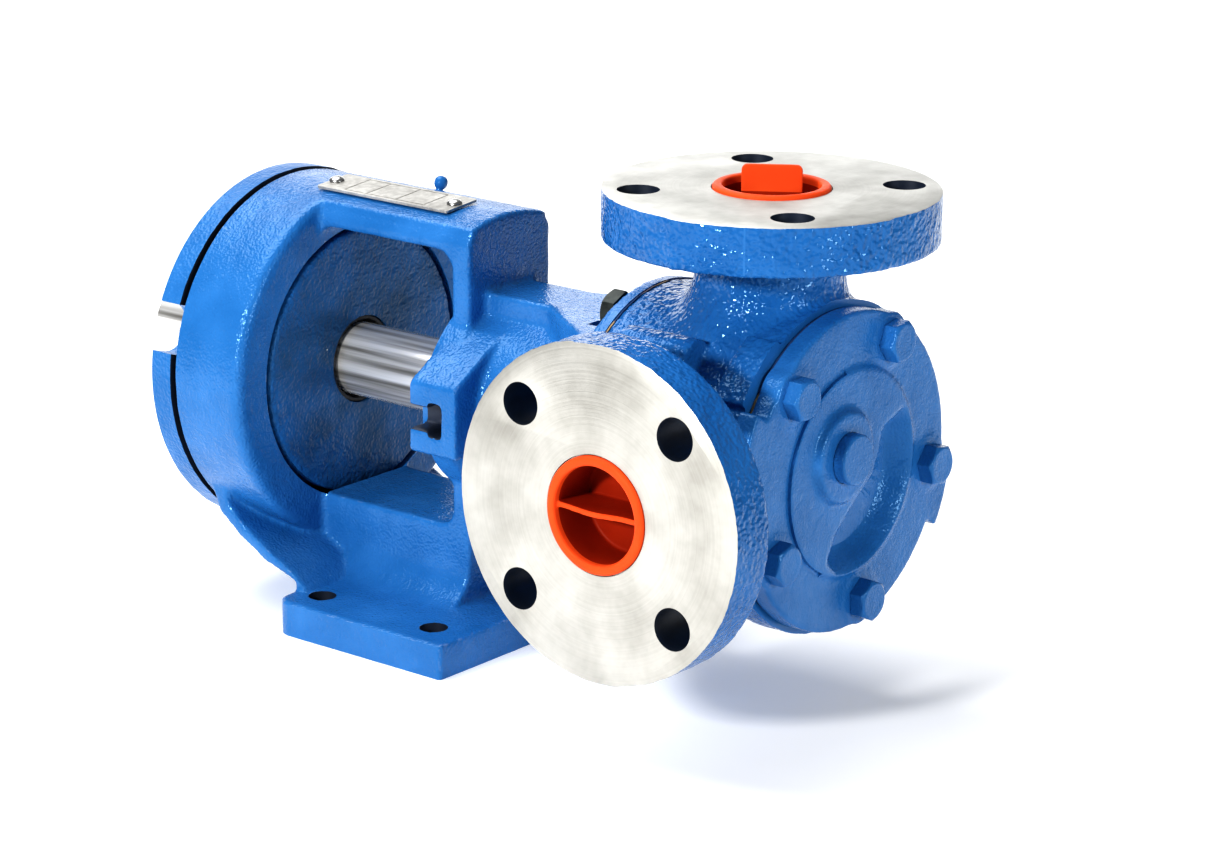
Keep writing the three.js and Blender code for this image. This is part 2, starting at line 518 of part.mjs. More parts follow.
function endCap() {
  const from = BEARING.to + 2;
  const rear = HOUSING_REAR_Y + 0.4;
  const profile = [[22, from], [34.2, from], [34.2, rear], [19.8, rear], [19.8, 244.8], [22, 244.8]];
  const blank = shaftTurned(profile, LARGE);
  const spannerHoles = [45, 225].map((a) => bar('y', 2.5, HOUSING_REAR_Y - 5, 260, polar(28, a), FINE));
  return cut(blank, ...spannerHoles);
}
piece('end_cap', endCap(), 'enamel');
piece('outer_lip_seal', shaftTurned([[BEARING_SEAT_R + GAP, 247.5], [14, 245.2], [19.5, 245.2], [19.5, 250.6],
  [18, 250.6], [18, 247], [14, 248.5]], MEDIUM), 'rubber');

// ---- Nameplate, grease fitting and port plugs ---------------------------------------------------
function nameplate() {
  const plate = new THREE.BoxGeometry(NAMEPLATE.wide, NAMEPLATE.long, NAMEPLATE.thick);
  plate.translate(0, NAMEPLATE.y, DRUM_R + 0.35 + NAMEPLATE.thick / 2).rotateY(-rad(NAMEPLATE.tilt));
  return cut(solid(plate), ...NAMEPLATE_RIVET_YS.map((y) => rivetHole(y)));
}
piece('nameplate', nameplate(), 'plate');
NAMEPLATE_RIVET_YS.forEach((y, k) => {
  const underHead = NAMEPLATE.thick + 0.35 + GAP;
  const profile = [[0, -4], [1.3, -4], [1.3, underHead], [3.1, underHead], [2.6, underHead + 0.9],
    [1.3, underHead + 1.5], [0, underHead + 1.6]];
  piece(`nameplate_rivet_${k + 1}`, solid(onRoof(turned(profile, FINE), y)), 'plate');
});
piece('grease_fitting', solid(onShoulder(turned([[0, 62], [2.4, 62], [2.4, 73.3], [1.6, 73.5], [2.4, 74.6],
  [2.75, 76.2], [2.4, 77.7], [1.3, 78.7], [0, 79]], FINE))), 'enamel');

// A push-in cap: lip on the seat round the port, cup in the bore, and a rib across the cup that may
// carry a pull tab standing out of it.
const PLUG = { lip: 22, lipThick: 3.2, cup: 20.1, inside: 18.2, deep: 20, ribThick: 2 };
const TAB = { wide: 22.5, up: 8.6 };
function portPlug(ribDegrees, ribDeep, tab) {
  const seat = PORT_REACH - PORT_SEAT_DEEP + GAP;
  const rim = seat + PLUG.lipThick;
  const floor = PORT_REACH - PLUG.deep;
  const shell = solid(turned([[0, floor], [PLUG.cup, floor], [PLUG.cup, seat], [PLUG.lip, seat],
    [PLUG.lip, rim], [PLUG.inside, rim], [PLUG.inside, floor + 1.6], [0, floor + 1.6]], MEDIUM)
    .rotateX(Math.PI / 2));
  const blade = (wide, top) => {
    const geometry = new THREE.BoxGeometry(wide, PLUG.ribThick, top - floor - 1);
    geometry.translate(0, 0, (top + floor + 1) / 2).rotateZ(rad(ribDegrees));
    return solid(geometry);
  };
  const cup = join(shell, blade(PLUG.inside * 2 + 1, PORT_REACH - ribDeep));
  return tab ? join(cup, blade(tab.wide, PORT_REACH + tab.up)) : cup;
}
const TOP_RIB = { degrees: -56, deep: 7 };
const SIDE_RIB = { degrees: 90, deep: 0.9 };
piece('top_port_plug', portPlug(TOP_RIB.degrees, TOP_RIB.deep, TAB), 'plastic');
piece('side_port_plug', portPlug(SIDE_RIB.degrees, SIDE_RIB.deep, null), 'plastic');
assembly.children.at(-1).geometry.rotateY(-Math.PI / 2);

export default pump;
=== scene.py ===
# A foot-mounted internal-gear pump on a white studio floor: enamelled iron castings on a steel shaft.
# Pieces are drawn in millimetres about the shaft axis, with y = 0 where the two port axes cross it, y
# rising to the driven end and z up; mount() takes each one to the shared frame in metres.
import json
import math
import bmesh
import bpy
import numpy as np
from mathutils import Matrix, Vector


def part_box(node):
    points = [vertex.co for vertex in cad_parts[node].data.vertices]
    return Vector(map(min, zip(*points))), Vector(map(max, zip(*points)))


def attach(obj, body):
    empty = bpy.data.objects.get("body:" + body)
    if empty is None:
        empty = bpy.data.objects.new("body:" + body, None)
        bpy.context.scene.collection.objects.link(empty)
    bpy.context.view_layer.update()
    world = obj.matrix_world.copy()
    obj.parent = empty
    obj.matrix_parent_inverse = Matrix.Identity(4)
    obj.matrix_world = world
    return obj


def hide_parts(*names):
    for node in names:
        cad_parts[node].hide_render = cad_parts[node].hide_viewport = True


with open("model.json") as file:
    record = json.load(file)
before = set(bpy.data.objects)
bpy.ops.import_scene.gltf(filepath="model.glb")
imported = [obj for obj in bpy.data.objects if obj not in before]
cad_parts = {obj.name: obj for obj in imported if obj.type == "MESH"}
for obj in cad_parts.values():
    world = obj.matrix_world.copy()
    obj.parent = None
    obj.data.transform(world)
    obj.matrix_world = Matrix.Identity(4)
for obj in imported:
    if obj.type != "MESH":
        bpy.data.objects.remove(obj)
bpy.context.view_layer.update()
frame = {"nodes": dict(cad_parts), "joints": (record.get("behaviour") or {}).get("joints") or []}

# ---- Studio ---------------------------------------------------------------------------------------
# A white paper floor under four softboxes: a broad one overhead, a small hard one on the left that puts
# glints in the enamel, a wide one behind that shines off level surfaces, and a weak one at the cover end.
MM = 0.001
spin = next(joint for joint in frame["joints"] if joint["name"] == "shaft_spin")
plug_low, plug_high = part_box("top_port_plug")
ORIGIN = Vector((spin["pos_m"][0], (plug_low[1] + plug_high[1]) / 2, spin["pos_m"][2]))
TO_ROW = Matrix.Translation(ORIGIN) @ Matrix.Scale(MM, 4)

paper = bpy.data.materials.new("white_paper")
paper.use_nodes = True
paper_shader = paper.node_tree.nodes["Principled BSDF"]
paper_shader.inputs["Base Color"].default_value = (0.97, 0.97, 0.97, 1)
paper_shader.inputs["Roughness"].default_value = 0.85
paper_shader.inputs["Specular IOR Level"].default_value = 0.15
paper_shader.inputs["Emission Color"].default_value = (1, 1, 1, 1)
paper_shader.inputs["Emission Strength"].default_value = 0.1
FLOOR_HALF = 6
sweep_mesh = bpy.data.meshes.new("sweep")
sweep_mesh.from_pydata([(-FLOOR_HALF, -FLOOR_HALF, 0), (FLOOR_HALF, -FLOOR_HALF, 0),
                        (FLOOR_HALF, FLOOR_HALF, 0), (-FLOOR_HALF, FLOOR_HALF, 0)], [], [(0, 1, 2, 3)])
sweep_mesh.materials.append(paper)
sweep = bpy.data.objects.new("sweep", sweep_mesh)
bpy.context.scene.collection.objects.link(sweep)

world = bpy.data.worlds.new("studio")
world.use_nodes = True
world.node_tree.nodes["Background"].inputs["Color"].default_value = (0.97, 0.985, 1.0, 1)
world.node_tree.nodes["Background"].inputs["Strength"].default_value = 0.17
bpy.context.scene.world = world
bpy.context.scene.view_settings.view_transform = "Standard"
bpy.context.scene.view_settings.look = "Medium High Contrast"
LAMP_AIM = Vector((0, -0.04, 0.1))


def softbox(name, place, size, watts):
    lamp = bpy.data.lights.new(name, "AREA")
    lamp.shape = "RECTANGLE"
    lamp.size, lamp.size_y = size
    lamp.energy = watts
    holder = bpy.data.objects.new(name, lamp)
    holder.location = place
    holder.rotation_euler = (LAMP_AIM - Vector(place)).to_track_quat("-Z", "Y").to_euler()
    bpy.context.scene.collection.objects.link(holder)


softbox("overhead_box", (-0.1, 0.5, 1.35), (1.4, 1.0), 24)
softbox("left_box", (-1.6, -0.1, 0.72), (0.16, 0.16), 26)
softbox("back_box", (1.7, 1.35, 0.75), (2.6, 1.1), 17)
softbox("cover_box", (-0.2, -1.7, 0.5), (0.3, 0.3), 9)

CAMERA_YAW = 0.6746
CAMERA_PITCH = 0.2886
CAMERA_ROLL = 0.0085
CAMERA_AWAY = 1.4665
CAMERA_LENS = 112.41
CAMERA_AIM = Vector((0, 76.4, -7.3))
camera_data = bpy.data.cameras.new("camera")
camera_data.sensor_width = 36
camera_data.lens = CAMERA_LENS
camera_data.clip_end = 50
camera = bpy.data.objects.new("camera", camera_data)
level = math.cos(CAMERA_PITCH)
looks = Vector((math.cos(CAMERA_YAW) * level, math.sin(CAMERA_YAW) * level, -math.sin(CAMERA_PITCH)))
camera.location = TO_ROW @ CAMERA_AIM - looks * CAMERA_AWAY
upright = looks.to_track_quat("-Z", "Y").to_matrix().to_4x4()
camera.rotation_euler = (upright @ Matrix.Rotation(CAMERA_ROLL, 4, "Z")).to_euler()
bpy.context.scene.collection.objects.link(camera)
bpy.context.scene.camera = camera

# ---- Bracket --------------------------------------------------------------------------------------
# One grey-iron casting: flange and seal chamber, slotted gland lugs, an open window under a flat arch,
# the drum that takes the bearing housing, and a drilled foot.  Cast in sand, bored, then enamelled.
SHAFT_HEIGHT = ORIGIN.z / MM
CRISP_ROUNDS = 2
SHARP_EDGE = math.radians(40)


def polar(radius, degrees):
    """A point on a circle, as the two coordinates across its axis."""
    return (radius * math.cos(math.radians(degrees)), radius * math.sin(math.radians(degrees)))


def solid(bm):
    """The finished bmesh as a mesh, its faces turned outwards."""
    bmesh.ops.recalc_face_normals(bm, faces=bm.faces)
    mesh = bpy.data.meshes.new("solid")
    bm.to_mesh(mesh)
    bm.free()
    return mesh


def along(axis, station, a, b):
    """The point at a station on an axis, with a and b across it."""
    return {"x": (station, a, b), "y": (a, station, b), "z": (a, b, station)}[axis]


def turned(profile, axis="y", at=(0, 0), segments=96):
    """A closed outline of (radius, station) points turned about an axis; at shifts it across the axis."""
    bm = bmesh.new()
    rings = []
    for radius, station in profile:
        count = segments if radius > 0 else 1
        spots = [polar(radius, 360 * k / segments) for k in range(count)]
        rings.append([bm.verts.new(along(axis, station, at[0] + a, at[1] + b)) for a, b in spots])
    for first, second in zip(rings, rings[1:] + rings[:1]):
        for k in range(segments):
            corners = [first[k % len(first)], first[(k + 1) % len(first)],
                       second[(k + 1) % len(second)], second[k % len(second)]]
            corners = list(dict.fromkeys(corners))
            if len(corners) > 2:
                bm.faces.new(corners)
    return solid(bm)


def bar(axis, radius, lo, hi, at=(0, 0), segments=64):
    """A round bar between two stations of an axis."""
    return turned([(0, lo), (radius, lo), (radius, hi), (0, hi)], axis, at, segments)


def prism(axis, outline, lo, hi):
    """An outline across an axis, pulled out between two stations."""
    bm = bmesh.new()
    ends = [[bm.verts.new(along(axis, station, a, b)) for a, b in outline] for station in (lo, hi)]
    for end in ends:
        bm.faces.new(end)
    for k in range(len(outline)):
        after = (k + 1) % len(outline)
        bm.faces.new((ends[0][k], ends[0][after], ends[1][after], ends[1][k]))
    return solid(bm)


def box(x, y, z):
    return prism("z", [(x[0], y[0]), (x[1], y[0]), (x[1], y[1]), (x[0], y[1])], *z)


def rounded(corners, radii, steps=8):
    """An outline with each corner turned into an arc; a radius of 0 leaves it sharp."""
    outline = []
    for k, corner in enumerate(corners):
        radius = radii[k] if isinstance(radii, (list, tuple)) else radii
        here = Vector(corner)
        before = (Vector(corners[k - 1]) - here).normalized()
        after = (Vector(corners[(k + 1) % len(corners)]) - here).normalized()
        half = before.angle(after) / 2
        if radius == 0:
            outline.append(tuple(here))
            continue
        reach = radius / math.tan(half)
        centre = here + (before + after).normalized() * radius / math.sin(half)
        first, last = here + before * reach - centre, here + after * reach - centre
        for step in range(steps + 1):
            blend = first.lerp(last, step / steps).normalized() * radius
            outline.append(tuple(centre + blend))
    return outline


def worked(mesh, *modifiers):
    """A mesh after a list of (modifier type, settings)."""
    blank = bpy.data.objects.new("blank", mesh)
    bpy.context.scene.collection.objects.link(blank)
    for kind, settings in modifiers:
        modifier = blank.modifiers.new(kind.lower(), kind)
        for name, value in settings.items():
            setattr(modifier, name, value)
    done = bpy.data.meshes.new_from_object(blank.evaluated_get(bpy.context.evaluated_depsgraph_get()))
    bpy.data.objects.remove(blank)
    return done


def joined(*meshes):
    """Several meshes in one, not welded."""
    bm = bmesh.new()
    for mesh in meshes:
        bm.from_mesh(mesh)
    whole = bpy.data.meshes.new("whole")
    bm.to_mesh(whole)
    bm.free()
    return whole


def boolean(mesh, operation, tools):
    for tool in tools:
        cutter = bpy.data.objects.new("cutter", tool)
        bpy.context.scene.collection.objects.link(cutter)
        mesh = worked(mesh, ("BOOLEAN", {"operation": operation, "solver": "MANIFOLD", "object": cutter}))
        bpy.data.objects.remove(cutter)
    return mesh


def cut(mesh, *tools):
    return boolean(mesh, "DIFFERENCE", tools)


def common(mesh, *tools):
    return boolean(mesh, "INTERSECT", tools)


def cast(solids, voxel, rounds, crisp=None):
    """One skin round overlapping solids, softened as a sand mould leaves it; where crisp(point) is true
    it is softened only a little."""
    skin = worked(joined(*solids), ("REMESH", {"mode": "VOXEL", "voxel_size": voxel}))
    if crisp is None:
        return worked(skin, ("SMOOTH", {"factor": 0.5, "iterations": rounds}))
    soft = [v.index for v in skin.vertices if not crisp(v.co)]
    blank = bpy.data.objects.new("blank", skin)
    bpy.context.scene.collection.objects.link(blank)
    blank.vertex_groups.new(name="soft").add(soft, 1.0, "REPLACE")
    for rounds_here, group in ((CRISP_ROUNDS, ""), (rounds, "soft")):
        modifier = blank.modifiers.new("soften", "SMOOTH")
        modifier.factor, modifier.iterations, modifier.vertex_group = 0.5, rounds_here, group
    done = bpy.data.meshes.new_from_object(blank.evaluated_get(bpy.context.evaluated_depsgraph_get()))
    bpy.data.objects.remove(blank)
    return done


def lumpy(mesh, height, size):
    """Cast surfaces pushed in and out a little, as sand leaves them."""
    sand = bpy.data.textures.new("sand", "CLOUDS")
    sand.noise_scale = size
    sand.noise_depth = 2
    return worked(mesh, ("DISPLACE", {"texture": sand, "strength": height, "mid_level": 0.5}))


def mount(name, mesh, body, nodes, materials, pick=None):
    """Sets a finished mesh in the pump: pick(centre, normal) gives a face's place in the materials."""
    mesh = mesh.copy()
    mesh.materials.clear()
    for material in materials:
        mesh.materials.append(material)
    if pick:
        for face in mesh.polygons:
            face.material_index = pick(face.center, face.normal)
    else:
        mesh.polygons.foreach_set("material_index", [0] * len(mesh.polygons))
    mesh.transform(TO_ROW)
    mesh.shade_smooth()
    mesh.set_sharp_from_angle(angle=SHARP_EDGE)
    mesh.name = name
    piece = bpy.data.objects.new(name, mesh)
    bpy.context.scene.collection.objects.link(piece)
    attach(piece, body)
    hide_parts(*nodes)


def add(tree, kind, inputs=None, **settings):
    """A new node with its settings, its inputs set or linked."""
    made = tree.nodes.new("ShaderNode" + kind)
    for name, value in settings.items():
        setattr(made, name, value)
    for key, value in (inputs or {}).items():
        if isinstance(value, bpy.types.NodeSocket):
            tree.links.new(value, made.inputs[key])
        else:
            made.inputs[key].default_value = value
    return made


def group(name, inputs, outputs):
    """An empty node group: inputs are labels with (type, value), outputs are labels with a type."""
    tree = bpy.data.node_groups.new(name, "ShaderNodeTree")
    for label, (kind, value) in inputs.items():
        socket = tree.interface.new_socket(label, in_out="INPUT", socket_type="NodeSocket" + kind)
        socket.default_value = value
    for label, kind in outputs.items():
        tree.interface.new_socket(label, in_out="OUTPUT", socket_type="NodeSocket" + kind)
    return tree, tree.nodes.new("NodeGroupInput").outputs, tree.nodes.new("NodeGroupOutput")


def use(tree, shared, values):
    """The outputs of a shared group placed in a material with its own values."""
    return add(tree, "Group", values, node_tree=shared).outputs


def noise(tree, place, scale, detail, roughness=0.5, distortion=0.0):
    return add(tree, "TexNoise", {"Vector": place, "Scale": scale, "Detail": detail, "Roughness": roughness,
                                  "Distortion": distortion}).outputs["Fac"]


def spread(tree, value, low, high, to_low=0.0, to_high=1.0):
    """A value's range from low to high, stretched over another range."""
    return add(tree, "MapRange", {"Value": value, "From Min": low, "From Max": high, "To Min": to_low,
                                  "To Max": to_high}).outputs[0]


def shade(tree, factor, a, b):
    """A colour between a and b."""
    return add(tree, "Mix", {"Factor": factor, "A": a, "B": b}, data_type="RGBA").outputs[2]


def blank_finish(name):
    material = bpy.data.materials.new(name)
    material.use_nodes = True
    return material, material.node_tree, material.node_tree.nodes["Principled BSDF"]


def feed(tree, shader, colour, roughness, height, depth):
    """Links a finish to its shader; depth is the relief of height in millimetres."""
    bump = add(tree, "Bump", {"Height": height, "Distance": depth * MM, "Strength": 1.0})
    tree.links.new(colour, shader.inputs["Base Color"])
    tree.links.new(roughness, shader.inputs["Roughness"])
    tree.links.new(bump.outputs["Normal"], shader.inputs["Normal"])


def cast_skin_group():
    """Sand-cast iron under paint: low lumps, a finer grain on top, and patches where the paint pools."""
    tree, given, out = group("cast_skin", {
        "Lump Size": ("Float", 3.0), "Grain Size": ("Float", 1.0), "Grain Share": ("Float", 0.4)},
        {"Height": "Float", "Pooling": "Float"})
    place = add(tree, "TexCoord").outputs["Object"]
    lump_scale = add(tree, "Math", {0: 1 / MM, 1: given["Lump Size"]}, operation="DIVIDE").outputs[0]
    grain_scale = add(tree, "Math", {0: 1 / MM, 1: given["Grain Size"]}, operation="DIVIDE").outputs[0]
    lumps = noise(tree, place, lump_scale, 1.0, distortion=0.3)
    grain = noise(tree, place, grain_scale, 0.5, 0.4)
    height = add(tree, "Mix", {"Factor": given["Grain Share"], "A": lumps, "B": grain}).outputs[0]
    pooling = spread(tree, noise(tree, place, 45.0, 4.0), 0.35, 0.7)
    tree.links.new(height, out.inputs["Height"])
    tree.links.new(pooling, out.inputs["Pooling"])
    return tree


def edge_wear_and_highlight_group():
    """Paint knocked off outside edges, with a painted highlight on the same edges, broken up so that only
    bits of each edge show pale metal.
    """
    tree, given, out = group("edge_wear_and_highlight", {"Reach": ("Float", 0.56), "Amount": ("Float", 0.5)},
                             {"Chip And Highlight": "Float"})
    place = add(tree, "TexCoord").outputs["Object"]
    edge = add(tree, "NewGeometry").outputs["Pointiness"]
    sharp = spread(tree, edge, given["Reach"], 0.66)
    broken = spread(tree, noise(tree, place, 160.0, 5.0, 0.65), 0.52, 0.6)
    worn = add(tree, "Math", {0: sharp, 1: broken}, operation="MULTIPLY").outputs[0]
    bare = add(tree, "Math", {0: worn, 1: given["Amount"]}, operation="MULTIPLY", use_clamp=True).outputs[0]
    tree.links.new(bare, out.inputs["Chip And Highlight"])
    return tree


CAST_SKIN = cast_skin_group()
EDGE_WEAR_AND_HIGHLIGHT = edge_wear_and_highlight_group()
BLUE_DEEP = (0.012, 0.108, 0.325, 1)
BLUE_THIN = (0.024, 0.145, 0.405, 1)
# Pale colour for outside edges: real paint chips, and a painted highlight on lit edges.
CHIP_AND_HIGHLIGHT_COLOUR = (0.62, 0.66, 0.70, 1)


def enamel(name, lump_size, lump_height, grain_size, grain_share, chip_and_highlight, gloss=0.17, reach=0.56,
           deep=BLUE_DEEP, thin=BLUE_THIN):
    """Thick blue enamel over a casting; lumps and grain are in millimetres, and the edge amount is how far
    edges chip and carry a painted highlight.
    """
    material, tree, shader = blank_finish(name)
    skin = use(tree, CAST_SKIN, {"Lump Size": lump_size, "Grain Size": grain_size,
                                 "Grain Share": grain_share})
    # Pale edges: chipped paint, with a painted highlight along the same edges.
    bare = use(tree, EDGE_WEAR_AND_HIGHLIGHT, {"Amount": chip_and_highlight, "Reach": reach})["Chip And Highlight"]
    colour = shade(tree, bare, shade(tree, skin["Pooling"], deep, thin), CHIP_AND_HIGHLIGHT_COLOUR)
    rough = spread(tree, skin["Pooling"], 0.0, 1.0, gloss + 0.07, gloss - 0.04)
    feed(tree, shader, colour, rough, skin["Height"], lump_height)
    shader.inputs["Specular IOR Level"].default_value = 0.42
    shader.inputs["Specular Tint"].default_value = (0.36, 0.68, 1, 1)
    return material


def turned_marks_group():
    """Rings left by a lathe tool about an axis, with slow blotches of tone across the face."""
    tree, given, out = group("turned_marks", {
        "Centre": ("Vector", (0, 0, 0)), "Across": ("Vector", (1, 1, 1))},
        {"Height": "Float", "Tone": "Float"})
    place = add(tree, "TexCoord").outputs["Object"]
    offset = add(tree, "VectorMath", {0: place, 1: given["Centre"]}, operation="SUBTRACT").outputs[0]
    flat = add(tree, "VectorMath", {0: offset, 1: given["Across"]}, operation="MULTIPLY").outputs[0]
    radius = add(tree, "VectorMath", {0: flat}, operation="LENGTH").outputs["Value"]
    rings = add(tree, "TexNoise", {"W": radius, "Scale": 1 / MM, "Detail": 3.0, "Roughness": 0.7},
                noise_dimensions="1D").outputs["Fac"]
    blotches = noise(tree, place, 38.0, 4.0, 0.6)
    tree.links.new(rings, out.inputs["Height"])
    tree.links.new(blotches, out.inputs["Tone"])
    return tree


TURNED_MARKS = turned_marks_group()


def turned_metal(name, centre, across, dark, light, rough, depth, metallic=0.9):
    """Bare metal off a lathe, about a centre in millimetres; across names the directions of its face."""
    material, tree, shader = blank_finish(name)
    marks = use(tree, TURNED_MARKS, {"Centre": TO_ROW @ Vector(centre), "Across": across})
    blotched = spread(tree, marks["Tone"], 0.3, 0.7)
    ringed = add(tree, "Mix", {"Factor": 0.35, "A": blotched, "B": marks["Height"]}).outputs[0]
    colour = shade(tree, ringed, (*dark, 1), (*light, 1))
    roughness = spread(tree, marks["Height"], 0.0, 1.0, rough - 0.08, rough + 0.1)
    feed(tree, shader, colour, roughness, marks["Height"], depth)
    shader.inputs["Metallic"].default_value = metallic
    return material


BRACKET_FLANGE = (48.6, 54)
CASING_R = 58.7
SEAL_CHAMBER_R = 26
SEAL_RIM_Y = 136.1
BULKHEAD_Y = 125.5
WINDOW_Y = (134.7, 203.5)
WINDOW_Z = (-51, 60)
ARCH_HALF = 24.7
ARCH_CORNER_R = 7
ARCH_CORNER_Z = 62.2
DRUM_R = 73
DRUM_BORE_R = 56.9
DRUM_Y = (203.5, 237.7)
FOOT_X = 70
FOOT_Y = (101.5, 189)
FOOT_TOP_Z = -81.25
FOOT_HOLES = [(x, y) for x in (-55.2, 55.2) for y in (117.5, 176.3)]
FOOT_HOLE_R = 5.55
BUSHING_BORE_R = 18.3
BRACKET_BOLT_ANGLES = (20, 110, 200, 290)
BOLT_CIRCLE_R = 51.5
BOLT_HOLE_R = 5.1
SPOT_FACE_R = 9.5
FLARE_R = 15
LUG_SIDES = ((-60, -39), (39, 60))


def bracket_mesh():
    stem = turned([(0, 30), (50, 30), (50, BRACKET_FLANGE[0] - 3), (CASING_R, BRACKET_FLANGE[0] - 3),
                   (CASING_R, BRACKET_FLANGE[1]), (50, BRACKET_FLANGE[1]), (43, 62), (39.5, 76), (37.5, 92),
                   (37, BULKHEAD_Y), (40, BULKHEAD_Y), (40, SEAL_RIM_Y + 2), (0, SEAL_RIM_Y + 2)])
    ridge = prism("z", rounded([(-39, 50), (39, 50), (39, 59), (14.4, 94), (14.4, 130), (-14.4, 130),
                                (-14.4, 94), (-39, 59)], (0, 0, 0, 3, 0, 0, 3, 0)), 20, 43.5)
    lugs = prism("y", rounded([(-50, -14.2), (50, -14.2), (50, 14.2), (22, 31), (-22, 31), (-50, 14.2)],
                              (1, 1, 1, 4, 4, 1)), 110.7, 134.2)
    slots = [box(side, (124.8, 140), (-4.2, 4.2)) for side in LUG_SIDES]
    slots += [box(side, (118.6, 124.9), (-6.8, 6.8)) for side in LUG_SIDES]
    lugs = cut(lugs, *slots)
    crown = [polar(DRUM_R, degrees) for degrees in range(72, 109, 3)]
    corner = [polar(ARCH_CORNER_R, degrees) for degrees in (10, 30, 50)]
    shoulder = [(ARCH_HALF, -90), (ARCH_HALF, 63),
                *[(ARCH_HALF - ARCH_CORNER_R + a, ARCH_CORNER_Z + b) for a, b in corner]]
    mirrored = [(-x, z) for x, z in reversed(shoulder)]
    arch = prism("y", shoulder + crown + mirrored, BULKHEAD_Y, WINDOW_Y[1] + 3)
    window = prism("x", rounded([(WINDOW_Y[0], WINDOW_Z[0]), (WINDOW_Y[1], WINDOW_Z[0]),
                                 (WINDOW_Y[1], WINDOW_Z[1]), (WINDOW_Y[0], WINDOW_Z[1])],
                                (6, 3, 5, 8)), -60, 60)
    arch = cut(arch, window)
    drum = turned([(50, DRUM_Y[0]), (69.5, DRUM_Y[0]), (72, DRUM_Y[0] + 1), (DRUM_R, DRUM_Y[0] + 3.5),
                   (DRUM_R, DRUM_Y[1] + 3), (50, DRUM_Y[1] + 3)], segments=128)
    skirt = [(ARCH_HALF + FLARE_R - a, FOOT_TOP_Z + FLARE_R - b)
             for a, b in (polar(FLARE_R, degrees) for degrees in range(0, 91, 15))]
    flare = prism("y", skirt + [(38, -86), (-38, -86)] + [(-x, z) for x, z in reversed(skirt)],
                  BULKHEAD_Y, 190)
    foot = prism("z", rounded([(-FOOT_X, FOOT_Y[0]), (FOOT_X, FOOT_Y[0]), (FOOT_X, FOOT_Y[1]),
                               (-FOOT_X, FOOT_Y[1])], (1, 1, 8, 8)), -SHAFT_HEIGHT - 3, FOOT_TOP_Z)
    web = prism("x", [(184, -84), (188.5, -84), (189.5, -78), (206, -72.7), (220, -65), (231, -56.6),
                      (235.5, -46), (228, -44), (225.5, -53), (217, -60.5), (204, -68), (191, -74.5),
                      (184, -80)], -57, 57)

    def is_foot(point):
        return point.z < FOOT_TOP_Z + 0.6 and (abs(point.x) > 41 or point.y < BULKHEAD_Y - 4)

    shell = cast([stem, ridge, lugs, arch, drum, flare, foot, web], 1.0, 9, is_foot)
    shell = lumpy(shell, 0.35, 7)
    bolt_spots = [polar(BOLT_CIRCLE_R, angle) for angle in BRACKET_BOLT_ANGLES]
    flange_bores = [bar("y", BOLT_HOLE_R, 20, 70, spot) for spot in bolt_spots]
    spot_faces = [bar("y", SPOT_FACE_R, BRACKET_FLANGE[1], 66, spot) for spot in bolt_spots]
    drilled = [bar("z", FOOT_HOLE_R, -120, -60, spot) for spot in FOOT_HOLES]
    sawn = [box((-90, 90), (80, 260), (-130, -SHAFT_HEIGHT)),
            box((-90, 90), (0, BRACKET_FLANGE[0]), (-90, 90)),
            turned([(DRUM_BORE_R - 8, DRUM_Y[1]), (90, DRUM_Y[1]), (90, 260), (DRUM_BORE_R - 8, 260)]),
            turned([(20, SEAL_RIM_Y), (44, SEAL_RIM_Y), (44, 150), (20, 150)])]
    bores = [bar("y", BUSHING_BORE_R, 0, 70), bar("y", SEAL_CHAMBER_R, 60, 160),
             bar("y", DRUM_BORE_R, WINDOW_Y[1] - 2, 260, segments=128)]
    return cut(shell, *sawn, *bores, *spot_faces, *flange_bores, *drilled)


def bracket_faces(centre, normal):
    """0 for paint, 1 for bored iron, 2 for painted shade in holes, slots and on the drum's rear face."""
    x, y, z = centre
    if abs(y - DRUM_Y[1]) < 0.05:
        return 2
    rim = abs(y - SEAL_RIM_Y) < 0.05
    chamber = math.hypot(x, z) < SEAL_CHAMBER_R + 0.05 and y > 60
    slot = 118.2 < y < 133.8 and abs(z) < 7 and 38.5 < abs(x) < 49.6
    hole = z < FOOT_TOP_Z and any(math.hypot(x - across, y - along_y) < FOOT_HOLE_R + 0.1
                                  for across, along_y in FOOT_HOLES)
    return 1 if rim or chamber else 2 if slot or hole else 0


bracket_enamel = enamel("bracket_enamel", 2.4, 0.5, 1.0, 0.55, chip_and_highlight=1.0, reach=0.53)
bored_iron = turned_metal("bored_iron", (0, 130, 0), (1, 0, 1), (0.42, 0.41, 0.39), (0.72, 0.7, 0.67),
                          0.38, 0.03)
# Near-black navy iron inside holes, slots and narrow gaps: painted shade.
painted_shade_iron = turned_metal("painted_shade_iron", (0, 0, 0), (1, 1, 1), (0.004, 0.008, 0.014),
                            (0.012, 0.022, 0.05), 0.5, 0.05, metallic=0.3)
mount("bracket_casting", bracket_mesh(), "frame", ["bracket"],
      [bracket_enamel, bored_iron, painted_shade_iron], bracket_faces)

